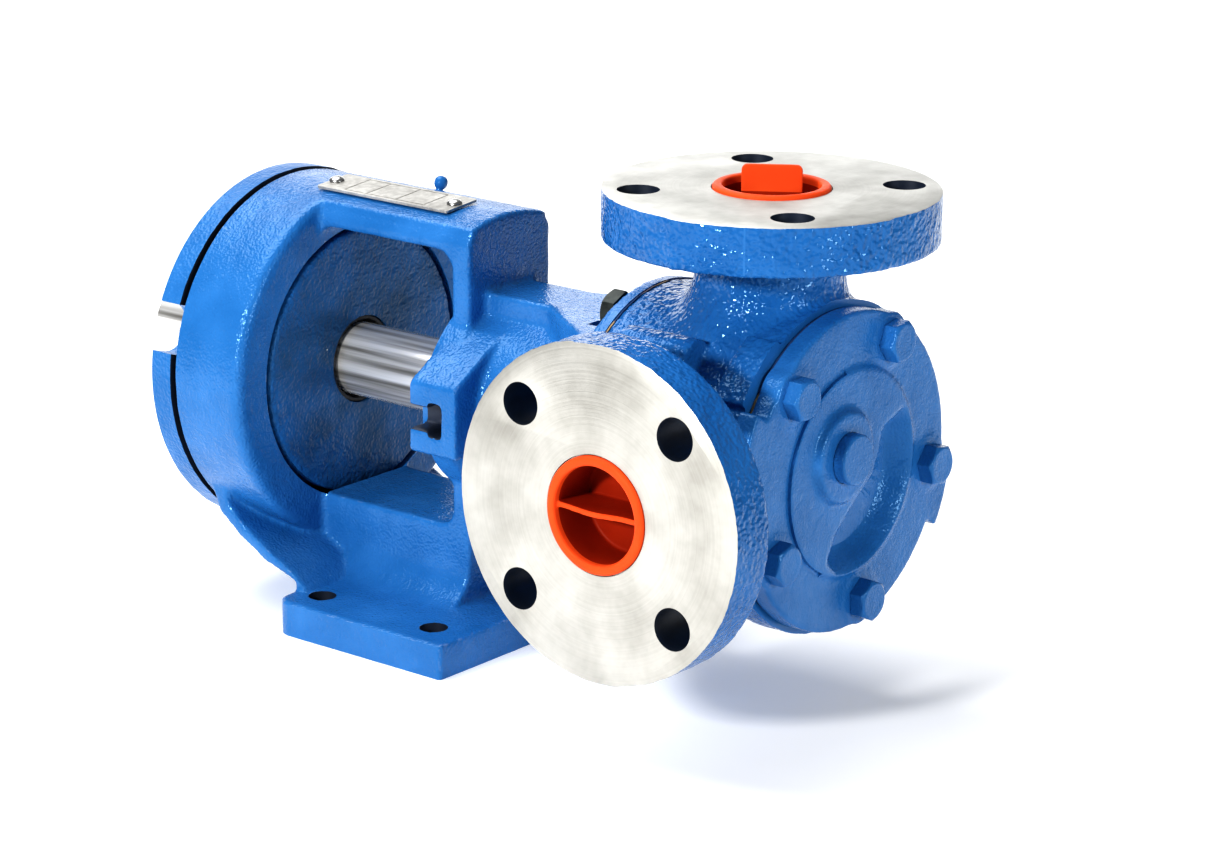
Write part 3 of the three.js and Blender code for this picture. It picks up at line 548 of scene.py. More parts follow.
# ---- Bushing and mechanical seal ------------------------------------------------------------------
# A bronze bushing pressed in the bracket carries the shaft; behind it a carbon seat, a sprung steel
# seal ring, its collar and an iron end plate fill the seal chamber.
def plain_metal(name, dark, light, rough, metallic, grain=0.05, scale=300):
    """Machined, drawn or plated metal with a fine grain and soft blotches; no tool rings."""
    material, tree, shader = blank_finish(name)
    place = add(tree, "TexCoord").outputs["Object"]
    fine = noise(tree, place, scale, 4.0)
    blotch = noise(tree, place, scale / 8, 2.0)
    mixed = add(tree, "Mix", {"Factor": 0.5, "A": fine, "B": blotch}).outputs[0]
    colour = shade(tree, spread(tree, mixed, 0.35, 0.65), (*dark, 1), (*light, 1))
    roughness = spread(tree, fine, 0.0, 1.0, rough - 0.08, rough + 0.08)
    feed(tree, shader, colour, roughness, fine, grain)
    shader.inputs["Metallic"].default_value = metallic
    return material


def finish(material, *nodes):
    """Gives inner pieces, which stay as the CAD made them, their material."""
    for node in nodes:
        for slot in frame["nodes"][node].material_slots:
            slot.material = material


bronze = plain_metal("turned_bronze", (0.30, 0.17, 0.06), (0.55, 0.35, 0.14), 0.34, 1.0)
carbon = plain_metal("lapped_carbon", (0.012, 0.012, 0.013), (0.035, 0.035, 0.037), 0.42, 0.0, 0.02)
spring_steel = plain_metal("spring_steel", (0.34, 0.34, 0.34), (0.55, 0.55, 0.54), 0.28, 1.0, 0.02)
bare_iron = plain_metal("oiled_iron", (0.09, 0.09, 0.095), (0.2, 0.2, 0.2), 0.4, 0.85, 0.06)
finish(bronze, "bracket_bushing")
finish(carbon, "seal_seat")
finish(spring_steel, "seal_rotary", "seal_spring", "seal_collar")
finish(bare_iron, "seal_end_plate")

# ---- Shaft and key --------------------------------------------------------------------------------
# One steel bar, turned and ground: it carries the rotor in front, steps down for the bearing and
# again for the keyed driven end, which has a centre hole and a chamfer.
SHAFT_R = 15
SHAFT_END_R = 9.5
SHAFT_END_Y = 313
KEY_HALF = 2.35
KEY_Y = (282, 310)
KEYWAY_FLOOR = 7.1


def shaft_mesh():
    blank = turned([(0, 12.2), (10.6, 12.2), (11, 12.6), (11, 21.8), (14.4, 21.8), (SHAFT_R, 22.4),
                    (SHAFT_R, 108), (14.8, 108.2), (14.8, 109.6), (SHAFT_R, 109.8), (SHAFT_R, 147.6),
                    (14.6, 147.9), (14.6, 149.1), (SHAFT_R, 149.4), (SHAFT_R, 213.4), (14.4, 214),
                    (12.3, 214), (12.3, 251.4), (11.8, 252), (10.1, 252), (SHAFT_END_R, 252.6),
                    (SHAFT_END_R, SHAFT_END_Y - 1), (SHAFT_END_R - 1, SHAFT_END_Y), (2.4, SHAFT_END_Y),
                    (0, SHAFT_END_Y - 2.4)], segments=128)
    slot = rounded([(-KEY_HALF, KEY_Y[0] - 0.3), (KEY_HALF, KEY_Y[0] - 0.3), (KEY_HALF, KEY_Y[1] + 0.3),
                    (-KEY_HALF, KEY_Y[1] + 0.3)], 2.2)
    return cut(blank, prism("z", slot, KEYWAY_FLOOR, 20))


def ground_steel():
    """Ground steel: fine rings round the bar and long light and dark streaks along it, which are painted
    reflection.
    """
    material, tree, shader = blank_finish("ground_steel")
    place = add(tree, "TexCoord").outputs["Object"]
    stretched = add(tree, "Mapping", {"Vector": place, "Scale": (240.0, 6.0, 240.0)}).outputs[0]
    ringed = add(tree, "Mapping", {"Vector": place, "Scale": (6.0, 2600.0, 6.0)}).outputs[0]
    # Light and dark bands along the bar: painted reflection.
    painted_reflection_streaks = spread(tree, noise(tree, stretched, 1.0, 3.0), 0.36, 0.6)
    rings = noise(tree, ringed, 1.0, 3.0)
    colour = shade(tree, painted_reflection_streaks, (0.22, 0.21, 0.19, 1), (0.98, 0.97, 0.94, 1))
    feed(tree, shader, colour, spread(tree, rings, 0.0, 1.0, 0.12, 0.28), rings, 0.004)
    shader.inputs["Metallic"].default_value = 0.65
    return material


shaft_steel = ground_steel()
mount("pump_shaft", shaft_mesh(), "drive_shaft", ["shaft"], [shaft_steel])
key_bar = box((-KEY_HALF + 0.3, KEY_HALF - 0.3), KEY_Y, (KEYWAY_FLOOR + 0.3, 11.9))
key_bar = worked(key_bar, ("BEVEL", {"width": 0.35, "segments": 2}))
mount("drive_key", key_bar, "drive_shaft", ["shaft_key"], [spring_steel])

# ---- Bearing housing and what it holds ------------------------------------------------------------
# An iron cup screwed into the drum: a rough cast front wall, a turned flange with spanner notches
# that is locked by two set screws, and inside it the ball bearing, spacer, seals, nut and end cap.
HOUSING_FLANGE = (240.2, 250.8)
HOUSING_FLANGE_R = 74
NOTCH_ANGLES = (164, 344)
SET_SCREW_ANGLES = (60, 240)
SET_SCREW_R = 65.5
NOTCH_CENTRE_R = 66
NOTCH_R = 10
NOTCH_FRONT_Y = HOUSING_FLANGE[0] - 1.2
CAP_R = 34.2
# A darker blue for the housing's front wall: painted shade.
PAINTED_SHADE_BLUE = (0.008, 0.055, 0.15, 1)


def housing_mesh():
    front, back = HOUSING_FLANGE
    rough = turned([(14, DRUM_Y[0]), (54.8, DRUM_Y[0]), (54.8, 212), (60, 216), (60, front - 2),
                    (HOUSING_FLANGE_R - 0.3, front - 2), (HOUSING_FLANGE_R - 0.3, back + 2),
                    (14, back + 2)])
    shell = lumpy(cast([rough], 1.2, 5), 0.45, 5)
    shell = common(shell, turned([(18, 190), (56.6, 190), (56.6, front), (HOUSING_FLANGE_R, front),
                                  (HOUSING_FLANGE_R, back - 0.8), (73.2, back), (34.5, back), (34.5, 234.3),
                                  (31.3, 234.3), (31.3, 216.7), (22, 216.7), (22, 212), (18, 212)],
                                 segments=128))
    cutters = []
    for angle in NOTCH_ANGLES:
        floor = polar(NOTCH_CENTRE_R, angle)
        side = Vector(polar(NOTCH_R, angle + 90))
        far = Vector(polar(90, angle))
        mouth = [tuple(Vector(floor) - side), tuple(far - side), tuple(far + side),
                 tuple(Vector(floor) + side)]
        cutters.append(prism("y", mouth, NOTCH_FRONT_Y, 260))
        cutters.append(bar("y", NOTCH_R, NOTCH_FRONT_Y, 260, floor))
    cutters += [bar("y", 3.5, 220, 260, polar(SET_SCREW_R, angle)) for angle in SET_SCREW_ANGLES]
    return cut(shell, *cutters)


def housing_faces(centre, normal):
    """0 for paint, 1 for bored iron, 2 for smooth paint, 3 for painted shade in the gap inside the drum, 4
    for the front wall, darker as painted shade.
    """
    radius = math.hypot(centre.x, centre.z)
    if normal.y > 0.9 and centre.y > HOUSING_FLANGE[0] + 2:
        return 2
    if normal.y < -0.9 and centre.y > HOUSING_FLANGE[0] - 2:
        return 3
    if radius < 34.6 and centre.y > 212.5:
        return 1
    if centre.y > HOUSING_FLANGE[0] - 1.3 and radius > 57:
        return 0
    return 3 if centre.y > 210 or radius > 56.4 else 4


housing_enamel = enamel("housing_enamel", 3.0, 0.8, 1.2, 0.5, chip_and_highlight=0.3, gloss=0.32)
# The front wall, seen through the window, is painted in a darker copy of the enamel: painted shade.
painted_shade_enamel = enamel("painted_shade_enamel", 3.0, 0.9, 1.2, 0.5, chip_and_highlight=0.0, gloss=0.34, deep=PAINTED_SHADE_BLUE,
                       thin=BLUE_DEEP)
smooth_enamel = enamel("smooth_enamel", 5.0, 0.12, 0.7, 0.3, chip_and_highlight=0.0)
mount("bearing_housing_casting", housing_mesh(), "bearing_carrier", ["bearing_housing"],
      [housing_enamel, bored_iron, smooth_enamel, painted_shade_iron, painted_shade_enamel], housing_faces)

cap = turned([(22, 236), (CAP_R, 236), (CAP_R, 250.6), (CAP_R - 0.6, 251.2), (20.6, 251.2), (19.8, 250.4),
              (19.8, 244.8), (22, 244.8)], segments=128)
cap = cut(cap, *[bar("y", 2.5, 245.8, 260, polar(28, angle)) for angle in (45, 225)])
mount("bearing_end_cap", cap, "bearing_carrier", ["end_cap"], [smooth_enamel])

# The zinc is darkened to near black: painted shade on the screws and nuts.
zinc = plain_metal("zinc_in_painted_shade", (0.010, 0.013, 0.013), (0.045, 0.052, 0.048), 0.45, 0.85, 0.05)
rubber = plain_metal("nitrile_rubber", (0.010, 0.010, 0.011), (0.03, 0.03, 0.031), 0.6, 0.0, 0.05)
finish(spring_steel, "bearing_outer_race", "bearing_inner_race", "bearing_balls", "bearing_spacer")
finish(rubber, "inner_lip_seal", "outer_lip_seal")
finish(zinc, "lockwasher", "locknut", "housing_set_screw_1", "housing_set_screw_2")

# ---- Casing gasket and bracket bolts --------------------------------------------------------------
# A fibre ring seals the casing to the bracket flange; four zinc-plated cap screws clamp it from
# behind and are left bare, because they go in after the castings are painted.
BOLT_R = 4.7
BOLT_FLATS = 14.3
BOLT_HEAD_HIGH = 6.6
GAP = 0.3


def fibre():
    """Compressed fibre sheet: flecked, matt and tan, and painted over along most of its edge."""
    material, tree, shader = blank_finish("gasket_fibre")
    place = add(tree, "TexCoord").outputs["Object"]
    flecks = noise(tree, place, 900.0, 4.0)
    bare = spread(tree, noise(tree, place, 60.0, 3.0), 0.56, 0.64)
    sheet = shade(tree, flecks, (0.16, 0.10, 0.045, 1), (0.45, 0.32, 0.17, 1))
    colour = shade(tree, bare, (0.003, 0.03, 0.11, 1), sheet)
    bump = add(tree, "Bump", {"Height": flecks, "Distance": 0.1 * MM, "Strength": 1.0})
    tree.links.new(colour, shader.inputs["Base Color"])
    tree.links.new(bump.outputs["Normal"], shader.inputs["Normal"])
    shader.inputs["Roughness"].default_value = 0.85
    return material


gasket_fibre = fibre()
finish(gasket_fibre, "casing_gasket", "cover_gasket")


def cap_screw(centre, under_head, top, end, degrees, painted):
    """A hexagon cap screw along the shaft's direction, its head chamfered, and dished unless painted."""
    corner = BOLT_FLATS / math.sqrt(3)
    flats = [tuple(Vector(centre) + Vector(polar(corner, degrees + 60 * k))) for k in range(6)]
    away = 1 if top > under_head else -1
    dished = 0.08 if painted else 0.35
    head = common(prism("y", flats, min(under_head, top), max(under_head, top)),
                  turned([(0, under_head), (corner, under_head), (corner, top - away * 1.1), (6.6, top),
                          (4.6, top), (4.2, top - away * dished), (0, top - away * dished)], "y", centre))
    if painted:
        head = cast([head], 0.35, 2)
    inside_head = under_head + away * 0.5
    return joined(head, bar("y", BOLT_R, min(inside_head, end), max(inside_head, end), centre))


for k, angle in enumerate(BRACKET_BOLT_ANGLES):
    seat = BRACKET_FLANGE[1] + GAP
    screw = cap_screw(polar(BOLT_CIRCLE_R, angle), seat, seat + BOLT_HEAD_HIGH, 28, 25 * k, False)
    mount(f"bracket_cap_screw_{k + 1}", screw, "frame", [f"bracket_bolt_{k + 1}"], [zinc])

# ---- Casing ---------------------------------------------------------------------------------------
# The pumping chamber with two flanged ports at a right angle: one iron casting with a joint line
# where its sand moulds met.  Only the joint faces, bores and bolt holes are machined.
FLANGE_R = 63.5
FLANGE_THICK = 19
PORT_REACH = 101.6
PORT_NECK_R = 28
PORT_BORE_R = 20.45
PORT_SEAT_R = 22.4
PORT_SEAT_DEEP = 2
PORT_BOLT_CIRCLE_R = 49.3
PORT_BOLT_HOLE_R = 7.95
PORT_HOLES = [polar(PORT_BOLT_CIRCLE_R, angle) for angle in (45, 135, 225, 315)]
CASING_Y = (-29.4, 47.4)
CASING_RIM_R = 63
CHAMBER_R = 43.2
COVER_BOLT_ANGLES = (135, 207, 279, 351, 63)
TOP_PARTED_RIM = range(181, 262, 3)
SIDE_PARTED_RIM = range(-100, 81, 3)


def sector(inner, outer, start, end, steps=12):
    angles = [start + (end - start) * k / steps for k in range(steps + 1)]
    return [polar(outer, a) for a in angles] + [polar(inner, a) for a in reversed(angles)]


def casing_mesh():
    underside = PORT_REACH - FLANGE_THICK
    faces = (("z", 1), ("x", -1))
    barrel = turned([(0, CASING_Y[0] + 6), (CASING_R, CASING_Y[0] + 6), (CASING_R, CASING_Y[1] + 3),
                     (0, CASING_Y[1] + 3)], segments=128)
    necks = [turned([(0, 0), (46, 0), (45, side * 40), (36, side * 52), (30.5, side * 60),
                     (PORT_NECK_R, side * 67), (PORT_NECK_R, side * (underside + 4)),
                     (0, side * (underside + 4))], axis) for axis, side in faces]
    slab = box((-140, 140), (CASING_Y[0], CASING_Y[1] + 3), (-140, 140))
    barrel = cast([barrel] + [common(neck, slab) for neck in necks], 1.3, 55)
    discs = []
    for axis, side in faces:
        lo, hi = sorted((side * underside, side * (PORT_REACH + 3)))
        discs.append(bar(axis, FLANGE_R - 0.85, lo, hi, segments=128))
    discs.append(prism("z", [(0, 0)] + [polar(FLANGE_R - 0.3, a) for a in TOP_PARTED_RIM],
                       underside, PORT_REACH + 3))
    discs.append(prism("x", [(0, 0)] + [polar(FLANGE_R - 0.3, a) for a in SIDE_PARTED_RIM],
                       -PORT_REACH - 3, -underside))
    rim = turned([(0, CASING_Y[0] - 3), (CASING_RIM_R, CASING_Y[0] - 3), (CASING_RIM_R, -17),
                  (CASING_R - 1, -12), (CASING_R - 1, 0), (0, 0)], segments=128)
    pad = prism("y", sector(50, 66, 122, 147), CASING_Y[0] - 3, -16)
    lug = bar("y", 8, -1, 31, polar(64, 135))
    shell = lumpy(cast([barrel, *discs, rim, pad, lug], 1.0, 7), 0.6, 3.8)
    sawn = [box((-72, 72), (-60, CASING_Y[0]), (-72, 72)), box((-72, 72), (CASING_Y[1], 80), (-72, 72)),
            box((-90, 90), (-90, 90), (PORT_REACH, 120)), box((-120, -PORT_REACH), (-90, 90), (-90, 90))]
    bores = [bar("y", CHAMBER_R, -60, 80, segments=128)]
    for axis, side in faces:
        spans = ((PORT_BORE_R, 20), (PORT_SEAT_R, PORT_REACH - PORT_SEAT_DEEP))
        bores += [bar(axis, radius, *sorted((side * deep, side * 120))) for radius, deep in spans]
        edge = [(FLANGE_R - 1.3, side * (PORT_REACH + 0.01)), (FLANGE_R + 3, side * (PORT_REACH - 2.6)),
                (FLANGE_R + 3, side * (PORT_REACH + 6)), (FLANGE_R - 1.3, side * (PORT_REACH + 6))]
        bores.append(turned(edge, axis, segments=128))
        deep = (60, underside - 3)[side < 0]
        lo, hi = sorted((side * deep, side * 120))
        bores += [bar(axis, PORT_BOLT_HOLE_R, lo, hi, spot) for spot in PORT_HOLES]
    bores += [bar("y", BOLT_HOLE_R, -60, -13, polar(BOLT_CIRCLE_R, a)) for a in COVER_BOLT_ANGLES]
    bores += [bar("y", BOLT_HOLE_R, 27, 60, polar(BOLT_CIRCLE_R, a)) for a in BRACKET_BOLT_ANGLES]
    return cut(shell, *sawn, *bores)


def casing_faces(centre, normal):
    """0 for paint, 1 and 2 for the port faces, 3 for bores, 4 for painted shade in bolt holes, 5 for joint
    faces.
    """
    x, y, z = centre
    if z > PORT_REACH - 0.8 and normal.z > 0.3:
        return 1
    if x < 0.8 - PORT_REACH and normal.x < -0.3:
        return 2
    if min(abs(y - end) for end in CASING_Y) < 0.05:
        return 5
    if math.hypot(x, z) < CHAMBER_R + 0.1:
        return 3
    for across, outward in ((x, z), (z, -x)):
        if outward > 0 and math.hypot(across, y) < PORT_SEAT_R + 0.1:
            return 3
        nearest = min(math.hypot(across - a, y - b) for a, b in PORT_HOLES)
        if outward > 80 and nearest < PORT_BOLT_HOLE_R + 0.06:
            return 4
    return 0


casing_enamel = enamel("casing_enamel", 3.5, 1.5, 1.7, 0.45, chip_and_highlight=0.5, gloss=0.055,
                       deep=(0.009, 0.092, 0.295, 1), thin=(0.018, 0.128, 0.375, 1))
top_facing = turned_metal("faced_iron_top", (0, 0, PORT_REACH), (1, 1, 0), (0.28, 0.275, 0.255),
                          (0.64, 0.64, 0.61), 0.5, 0.06, metallic=0.75)
side_facing = turned_metal("faced_iron_side", (-PORT_REACH, 0, 0), (0, 1, 1), (0.29, 0.28, 0.25),
                           (0.62, 0.61, 0.57), 0.42, 0.06, metallic=0.75)
mount("casing_casting", casing_mesh(), "frame", ["casing"],
      [casing_enamel, top_facing, side_facing, bored_iron, painted_shade_iron, smooth_enamel], casing_faces)

# ---- Rotor and idler ------------------------------------------------------------------------------
# The twelve-post rotor on the shaft and the eight-tooth idler that it drives, both of oiled iron; the
# idler turns on a bronze bushing.
finish(bare_iron, "rotor", "idler_gear")
finish(bronze, "idler_bushing")

# ---- Cover ----------------------------------------------------------------------------------------
# The cast cover: a low plateau with a boss for the idler pin, a crescent-shaped hollow behind which
# the crescent stands in the chamber, and two pry lugs.  Painted with the pin and bolts in place.
COVER_R = 60.8
COVER_FACE_Y = -38.6
COVER_BACK_Y = -30.9
PLATEAU_R = 39.5
IDLER_CENTRE = polar(11.6, 135)
PIN_R = 9.6
PIN_END_Y = -48
BOSS_FACE_Y = -43.2
BOLT_PAD_R = 10.5
CRESCENT_R = (28.9, 29.2)
CRESCENT_END_Y = 11.2
HOLLOW_DEEP = 8.6
HOLLOW_SLOPE = 11
PRY_LUG_ANGLES = (-31, 149)


def hollowed(mesh, outline):
    """The front of a mesh sunk inside an outline of (x, z) points, in a smooth valley."""
    spots = np.empty(len(mesh.vertices) * 3)
    mesh.vertices.foreach_get("co", spots)
    spots = spots.reshape(-1, 3)
    flat = spots[:, (0, 2)]
    inside = np.zeros(len(flat), bool)
    nearest = np.full(len(flat), np.inf)
    for start, end in zip(np.array(outline), np.roll(outline, -1, axis=0)):
        span = end - start
        share = np.clip((flat - start) @ span / (span @ span), 0, 1)
        nearest = np.minimum(nearest, np.linalg.norm(flat - start - share[:, None] * span, axis=1))
        crosses = (start[1] > flat[:, 1]) != (end[1] > flat[:, 1])
        rise = span[1] if span[1] else 1e-9
        inside ^= crosses & (flat[:, 0] < start[0] + (flat[:, 1] - start[1]) * span[0] / rise)
    share = np.clip(nearest / HOLLOW_SLOPE, 0, 1)
    front = inside & (spots[:, 1] < COVER_FACE_Y + 2)
    spots[front, 1] += HOLLOW_DEEP * (share * share * (3 - 2 * share))[front]
    mesh.vertices.foreach_set("co", spots.ravel())
    return mesh


def cover_mesh():
    disc = turned([(0, COVER_BACK_Y + 3), (COVER_R, COVER_BACK_Y + 3), (COVER_R, COVER_FACE_Y),
                   (0, COVER_FACE_Y)], segments=128)
    plateau = turned([(0, COVER_FACE_Y + 2), (PLATEAU_R, COVER_FACE_Y + 2), (PLATEAU_R, COVER_FACE_Y - 1.5),
                      (0, COVER_FACE_Y - 1.7)], segments=128)
    boss = turned([(0, COVER_FACE_Y + 2), (20, COVER_FACE_Y), (17.6, COVER_FACE_Y - 3),
                   (16.6, BOSS_FACE_Y), (0, BOSS_FACE_Y)], at=IDLER_CENTRE)
    bolt_spots = [polar(BOLT_CIRCLE_R, angle) for angle in COVER_BOLT_ANGLES]
    pads = [bar("y", BOLT_PAD_R, COVER_FACE_Y - 0.6, COVER_BACK_Y + 3, spot) for spot in bolt_spots]
    lugs = [prism("y", sector(50, 67.8, a, a + 23), COVER_FACE_Y, COVER_BACK_Y + 3)
            for a in PRY_LUG_ANGLES]
    blank = worked(joined(disc, plateau, *pads, *lugs), ("REMESH", {"mode": "VOXEL", "voxel_size": 0.7}))
    arc = [polar(40, a) for a in range(28, -112, -7)]
    hollow = rounded([(32.5, 20.5), *arc[1:], (-17.5, -31.5), (-11.7, -20.6), (0.7, -9.9), (11, -2.5),
                      (15, 5), (17, 14)], [3] + [0] * (len(arc) - 1) + [5, 4, 0, 0, 0, 4])
    sunk = hollowed(blank, hollow)

    def is_plateau_edge(point):
        bearing = math.degrees(math.atan2(point.z, point.x)) % 360
        return 96 < bearing < 250 and abs(math.hypot(point.x, point.z) - PLATEAU_R) < 3

    shell = lumpy(cast([sunk, boss], 0.65, 14, is_plateau_edge), 0.22, 4)
    inside_r, outside_r = CRESCENT_R
    crescent = common(bar("y", outside_r, -33, CRESCENT_END_Y, segments=128),
                      prism("y", [(0, 0)] + [polar(80, a) for a in range(-113, 24, 17)], -33,
                            CRESCENT_END_Y))
    crescent = cut(crescent, bar("y", inside_r, -60, 40, IDLER_CENTRE, segments=128))
    shell = cut(shell, box((-90, 90), (COVER_BACK_Y, 20), (-90, 90)))
    shell = boolean(shell, "UNION", [crescent, bar("y", 15, COVER_BACK_Y - 1, -30.7, IDLER_CENTRE)])
    holes = [bar("y", BOLT_HOLE_R, -60, 0, spot) for spot in bolt_spots]
    inner, outer = PLATEAU_R - 0.4, PLATEAU_R + 1.2
    ledge = common(turned([(inner, -50), (outer, -50), (outer, COVER_FACE_Y + 0.1),
                           (inner, COVER_FACE_Y + 0.1)], segments=128),
                   prism("y", [(0, 0)] + [polar(80, a) for a in range(98, 246, 12)], -60, -20))
    return cut(shell, ledge, bar("y", PIN_R + 0.15, -60, 0, IDLER_CENTRE), *holes)


cover_enamel = enamel("cover_enamel", 2.4, 0.35, 0.9, 0.5, chip_and_highlight=0.2, gloss=0.2)
mount("cover_casting", cover_mesh(), "frame", ["cover"], [cover_enamel, bare_iron],
      lambda centre, normal: 1 if centre.y > COVER_BACK_Y - 0.05 else 0)

pin = turned([(0, -42.8), (PIN_R, -42.8), (PIN_R, PIN_END_Y + 0.6), (PIN_R - 0.6, PIN_END_Y),
              (0, PIN_END_Y)], at=IDLER_CENTRE)
pin = cast([pin], 0.4, 2)
pin = joined(pin, bar("y", PIN_R, -43, 11.4, IDLER_CENTRE))
mount("idler_pin_bar", pin, "frame", ["idler_pin"], [cover_enamel, spring_steel],
      lambda centre, normal: 1 if centre.y > COVER_BACK_Y else 0)
for k, angle in enumerate(COVER_BOLT_ANGLES):
    seat = COVER_FACE_Y - GAP
    screw = cap_screw(polar(BOLT_CIRCLE_R, angle), seat, seat - BOLT_HEAD_HIGH, -14, 17 * k, True)
    mount(f"cover_cap_screw_{k + 1}", screw, "frame", [f"cover_bolt_{k + 1}"],
          [cover_enamel, zinc], lambda centre, normal: 1 if centre.y > COVER_FACE_Y + 0.5 else 0)

# ---- Port plugs -----------------------------------------------------------------------------------
# Soft polyethylene shipping caps, moulded in one: a cup that grips the bore, a round lip, and a rib
# across the cup.  The top one has a pull tab on its rib; the side one's rib is wavy and has none.
PLUG_LIP_R = 22
PLUG_CUP_R = 20.1
PLUG_INSIDE_R = 18.2
PLUG_DEEP = 20
RIB_HALF_THICK = 1
TAB_HALF = 11.25
TAB_UP = 8.6


def plug_mesh(rib_degrees, rib_deep, tab, sway):
    """A plug for the top port: rib_deep is how far its rib lies below the port face, sway its wave."""
    seat = PORT_REACH - PORT_SEAT_DEEP + GAP
    rim = seat + 3.2
    floor = PORT_REACH - PLUG_DEEP
    wall = rounded([(0, floor), (0, floor + 1.6), (PLUG_INSIDE_R, floor + 1.6), (PLUG_INSIDE_R, rim),
                    (PLUG_LIP_R, rim), (PLUG_LIP_R, seat), (PLUG_CUP_R, seat), (PLUG_CUP_R, floor)],
                   (0, 0, 0.8, 1.0, 1.5, 0.8, 0, 1.5), 5)
    shell = turned(wall, "z", segments=128)
    half_bore = PLUG_INSIDE_R + 0.6
    crest = PORT_REACH - rib_deep
    stations = [half_bore * (1 - k / 12) for k in range(25)]
    bm = bmesh.new()
    edges = [[bm.verts.new((x, side * RIB_HALF_THICK + (sway * math.sin(x / 5 + 1) if top else 0),
                            crest if top else floor + 1)) for x in stations]
             for side, top in ((-1, False), (-1, True), (1, True), (1, False))]
    for first, second in zip(edges, edges[1:] + edges[:1]):
        for k in range(len(stations) - 1):
            bm.faces.new((first[k], first[k + 1], second[k + 1], second[k]))
    for end in (0, -1):
        bm.faces.new([edge[end] for edge in edges])
    parts = [shell, solid(bm)]
    if tab:
        ear = rounded([(-TAB_HALF, floor + 2), (TAB_HALF, floor + 2), (TAB_HALF, PORT_REACH + TAB_UP),
                       (-TAB_HALF, PORT_REACH + TAB_UP)], (0, 0, 2.2, 2.2), 6)
        parts.append(prism("y", ear, -RIB_HALF_THICK, RIB_HALF_THICK))
    plug = cast(parts, 0.42, 3)
    plug.transform(Matrix.Rotation(math.radians(rib_degrees), 4, "Z"))
    return plug


def moulded_plastic(name, deep, thin):
    """Soft polyethylene with a little ripple in its skin; its colour drifts between deep and thin."""
    material, tree, shader = blank_finish(name)
    place = add(tree, "TexCoord").outputs["Object"]
    ripple = noise(tree, place, 220.0, 3.0)
    colour = shade(tree, noise(tree, place, 60.0, 2.0), (*deep, 1), (*thin, 1))
    feed(tree, shader, colour, spread(tree, ripple, 0.0, 1.0, 0.4, 0.55), ripple, 0.08)
    shader.inputs["Specular IOR Level"].default_value = 0.12
    shader.inputs["Specular Tint"].default_value = (1, 0.55, 0.42, 1)
    shader.inputs["Subsurface Weight"].default_value = 0.06
    shader.inputs["Subsurface Radius"].default_value = (0.004, 0.0012, 0.0006)
    shader.inputs["Subsurface Scale"].default_value = 1.0
    return material


def plug_faces(centre, normal):
    """0 for the lip, tab and outside, 1 for the inside of the cup, which is darker as painted shade."""
    depth, across = (-centre.x, centre.z) if centre.z < 60 else (centre.z, centre.x)
    return 1 if depth < PORT_REACH - 1.6 and math.hypot(across, centre.y) < PLUG_INSIDE_R + 0.3 else 0


# The inside of each cup is a darker orange: painted shade in the hollow.
plastic = [moulded_plastic("orange_polyethylene", (0.62, 0.048, 0.008), (0.80, 0.085, 0.016)),
           moulded_plastic("orange_polyethylene_painted_shade", (0.20, 0.009, 0.002), (0.32, 0.018, 0.003))]
top_plug = plug_mesh(-56, 7, True, 0)
side_plug = plug_mesh(90, 0.9, False, 0.45)
side_plug.transform(Matrix.Rotation(math.radians(-90), 4, "Y"))
mount("top_port_cap", top_plug, "top_plug", ["top_port_plug"], plastic, plug_faces)
mount("side_port_cap", side_plug, "side_plug", ["side_port_plug"], plastic, plug_faces)

# ---- Nameplate and grease fitting -----------------------------------------------------------------
# A blank satin plate with a stamped grid, held by two drive rivets on the arch, and a painted grease
# fitting screwed in beside it.
PLATE_HALF = (9.25, 34.5)
PLATE_AT_Y = 179
PLATE_TILT = 5
RIVET_YS = (148.5, 210.8)
GREASE_Y = 184
GREASE_LEAN = 20


def on_roof(mesh):
    """Tips a mesh about the shaft axis, as the plate sits off centre on the arch."""
    mesh.transform(Matrix.Rotation(math.radians(-PLATE_TILT), 4, "Y"))
    return mesh


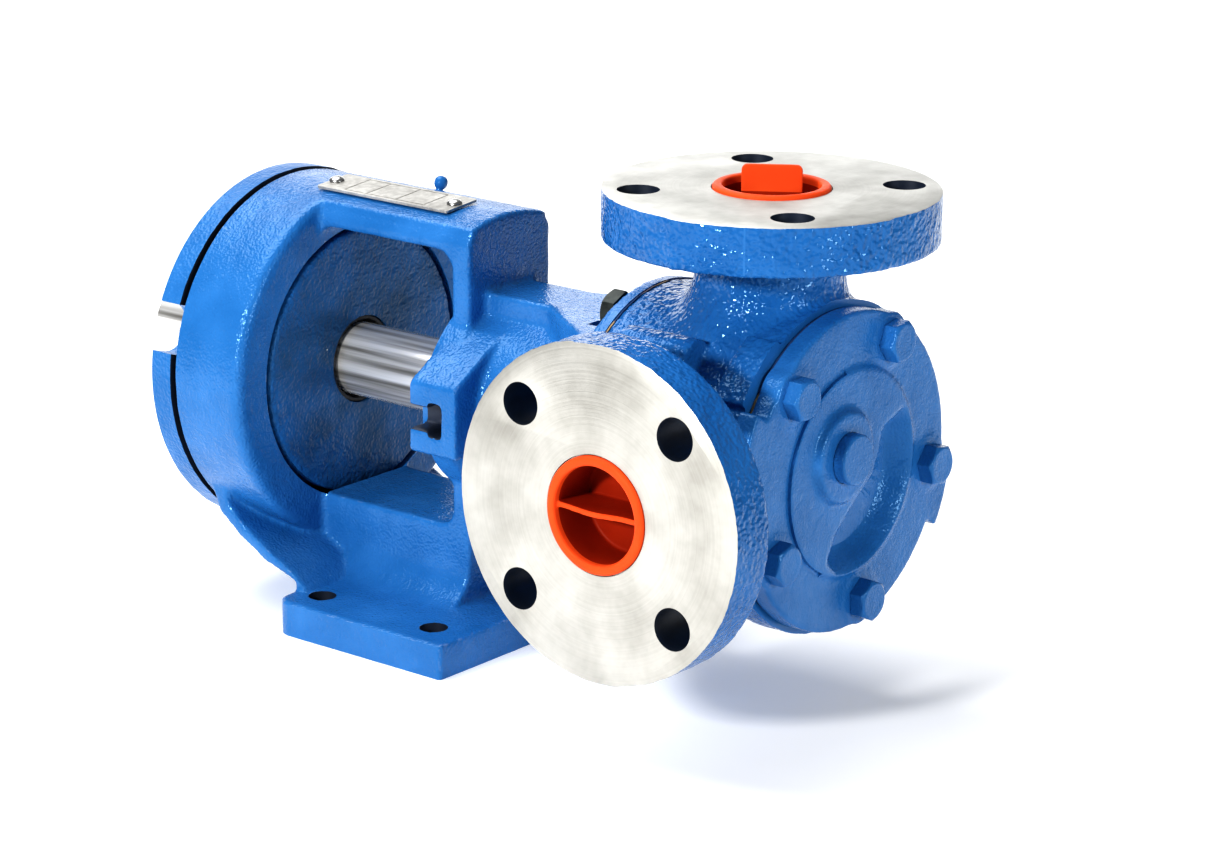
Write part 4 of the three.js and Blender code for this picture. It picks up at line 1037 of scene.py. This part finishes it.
def plate_mesh():
    across, along_y = PLATE_HALF
    under = DRUM_R + 0.35
    near, far = PLATE_AT_Y - along_y, PLATE_AT_Y + along_y
    corners = [(-across, near), (across, near), (across, far), (-across, far)]
    stamped = prism("z", rounded(corners, 1.2), under, under + 1)
    frames = []
    for inset, low, high in ((1.5, -21, 21), (1.5, -21, -6), (1.5, 9, 21)):
        for shrink in (0, 0.5):
            x, lo, hi = across - inset - shrink, PLATE_AT_Y + low + shrink, PLATE_AT_Y + high - shrink
            frames.append(box((-x, x), (lo, hi), (under + 0.82, under + 2)))
    for outer, inner in zip(frames[::2], frames[1::2]):
        stamped = cut(stamped, cut(outer, inner))
    return on_roof(cut(stamped, *[bar("z", 1.6, 60, 90, (0, y)) for y in RIVET_YS]))


plate_metal = plain_metal("satin_plate", (0.26, 0.25, 0.23), (0.56, 0.55, 0.52), 0.42, 0.85, 0.04, 420)
mount("blank_nameplate", plate_mesh(), "frame", ["nameplate"], [plate_metal])
for k, station in enumerate(RIVET_YS):
    under_head = DRUM_R + 1.35 + GAP
    rivet = turned([(0, DRUM_R - 4), (1.3, DRUM_R - 4), (1.3, under_head), (3.1, under_head),
                    (2.95, under_head + 0.5), (2.5, under_head + 0.95), (1.7, under_head + 1.35),
                    (0.8, under_head + 1.55), (0, under_head + 1.6)], "z", (0, station))
    mount(f"drive_rivet_{k + 1}", on_roof(rivet), "frame", [f"nameplate_rivet_{k + 1}"],
          [spring_steel])

nipple = turned([(0, 62), (2.4, 62), (2.4, 72.6), (1.5, 72.9), (1.5, 73.6), (2.1, 74.2), (2.6, 75.1),
                 (2.75, 76.2), (2.6, 77.3), (2.1, 78.2), (1.3, 78.8), (0, 79)], "z", (0, GREASE_Y))
flats = [tuple(Vector((0, GREASE_Y)) + Vector(polar(3.9, 60 * k))) for k in range(6)]
nipple = joined(nipple, worked(prism("z", flats, 69, 72.4), ("BEVEL", {"width": 0.3, "segments": 2})))
nipple.transform(Matrix.Rotation(math.radians(GREASE_LEAN), 4, "Y"))
mount("grease_nipple", nipple, "frame", ["grease_fitting"], [smooth_enamel])
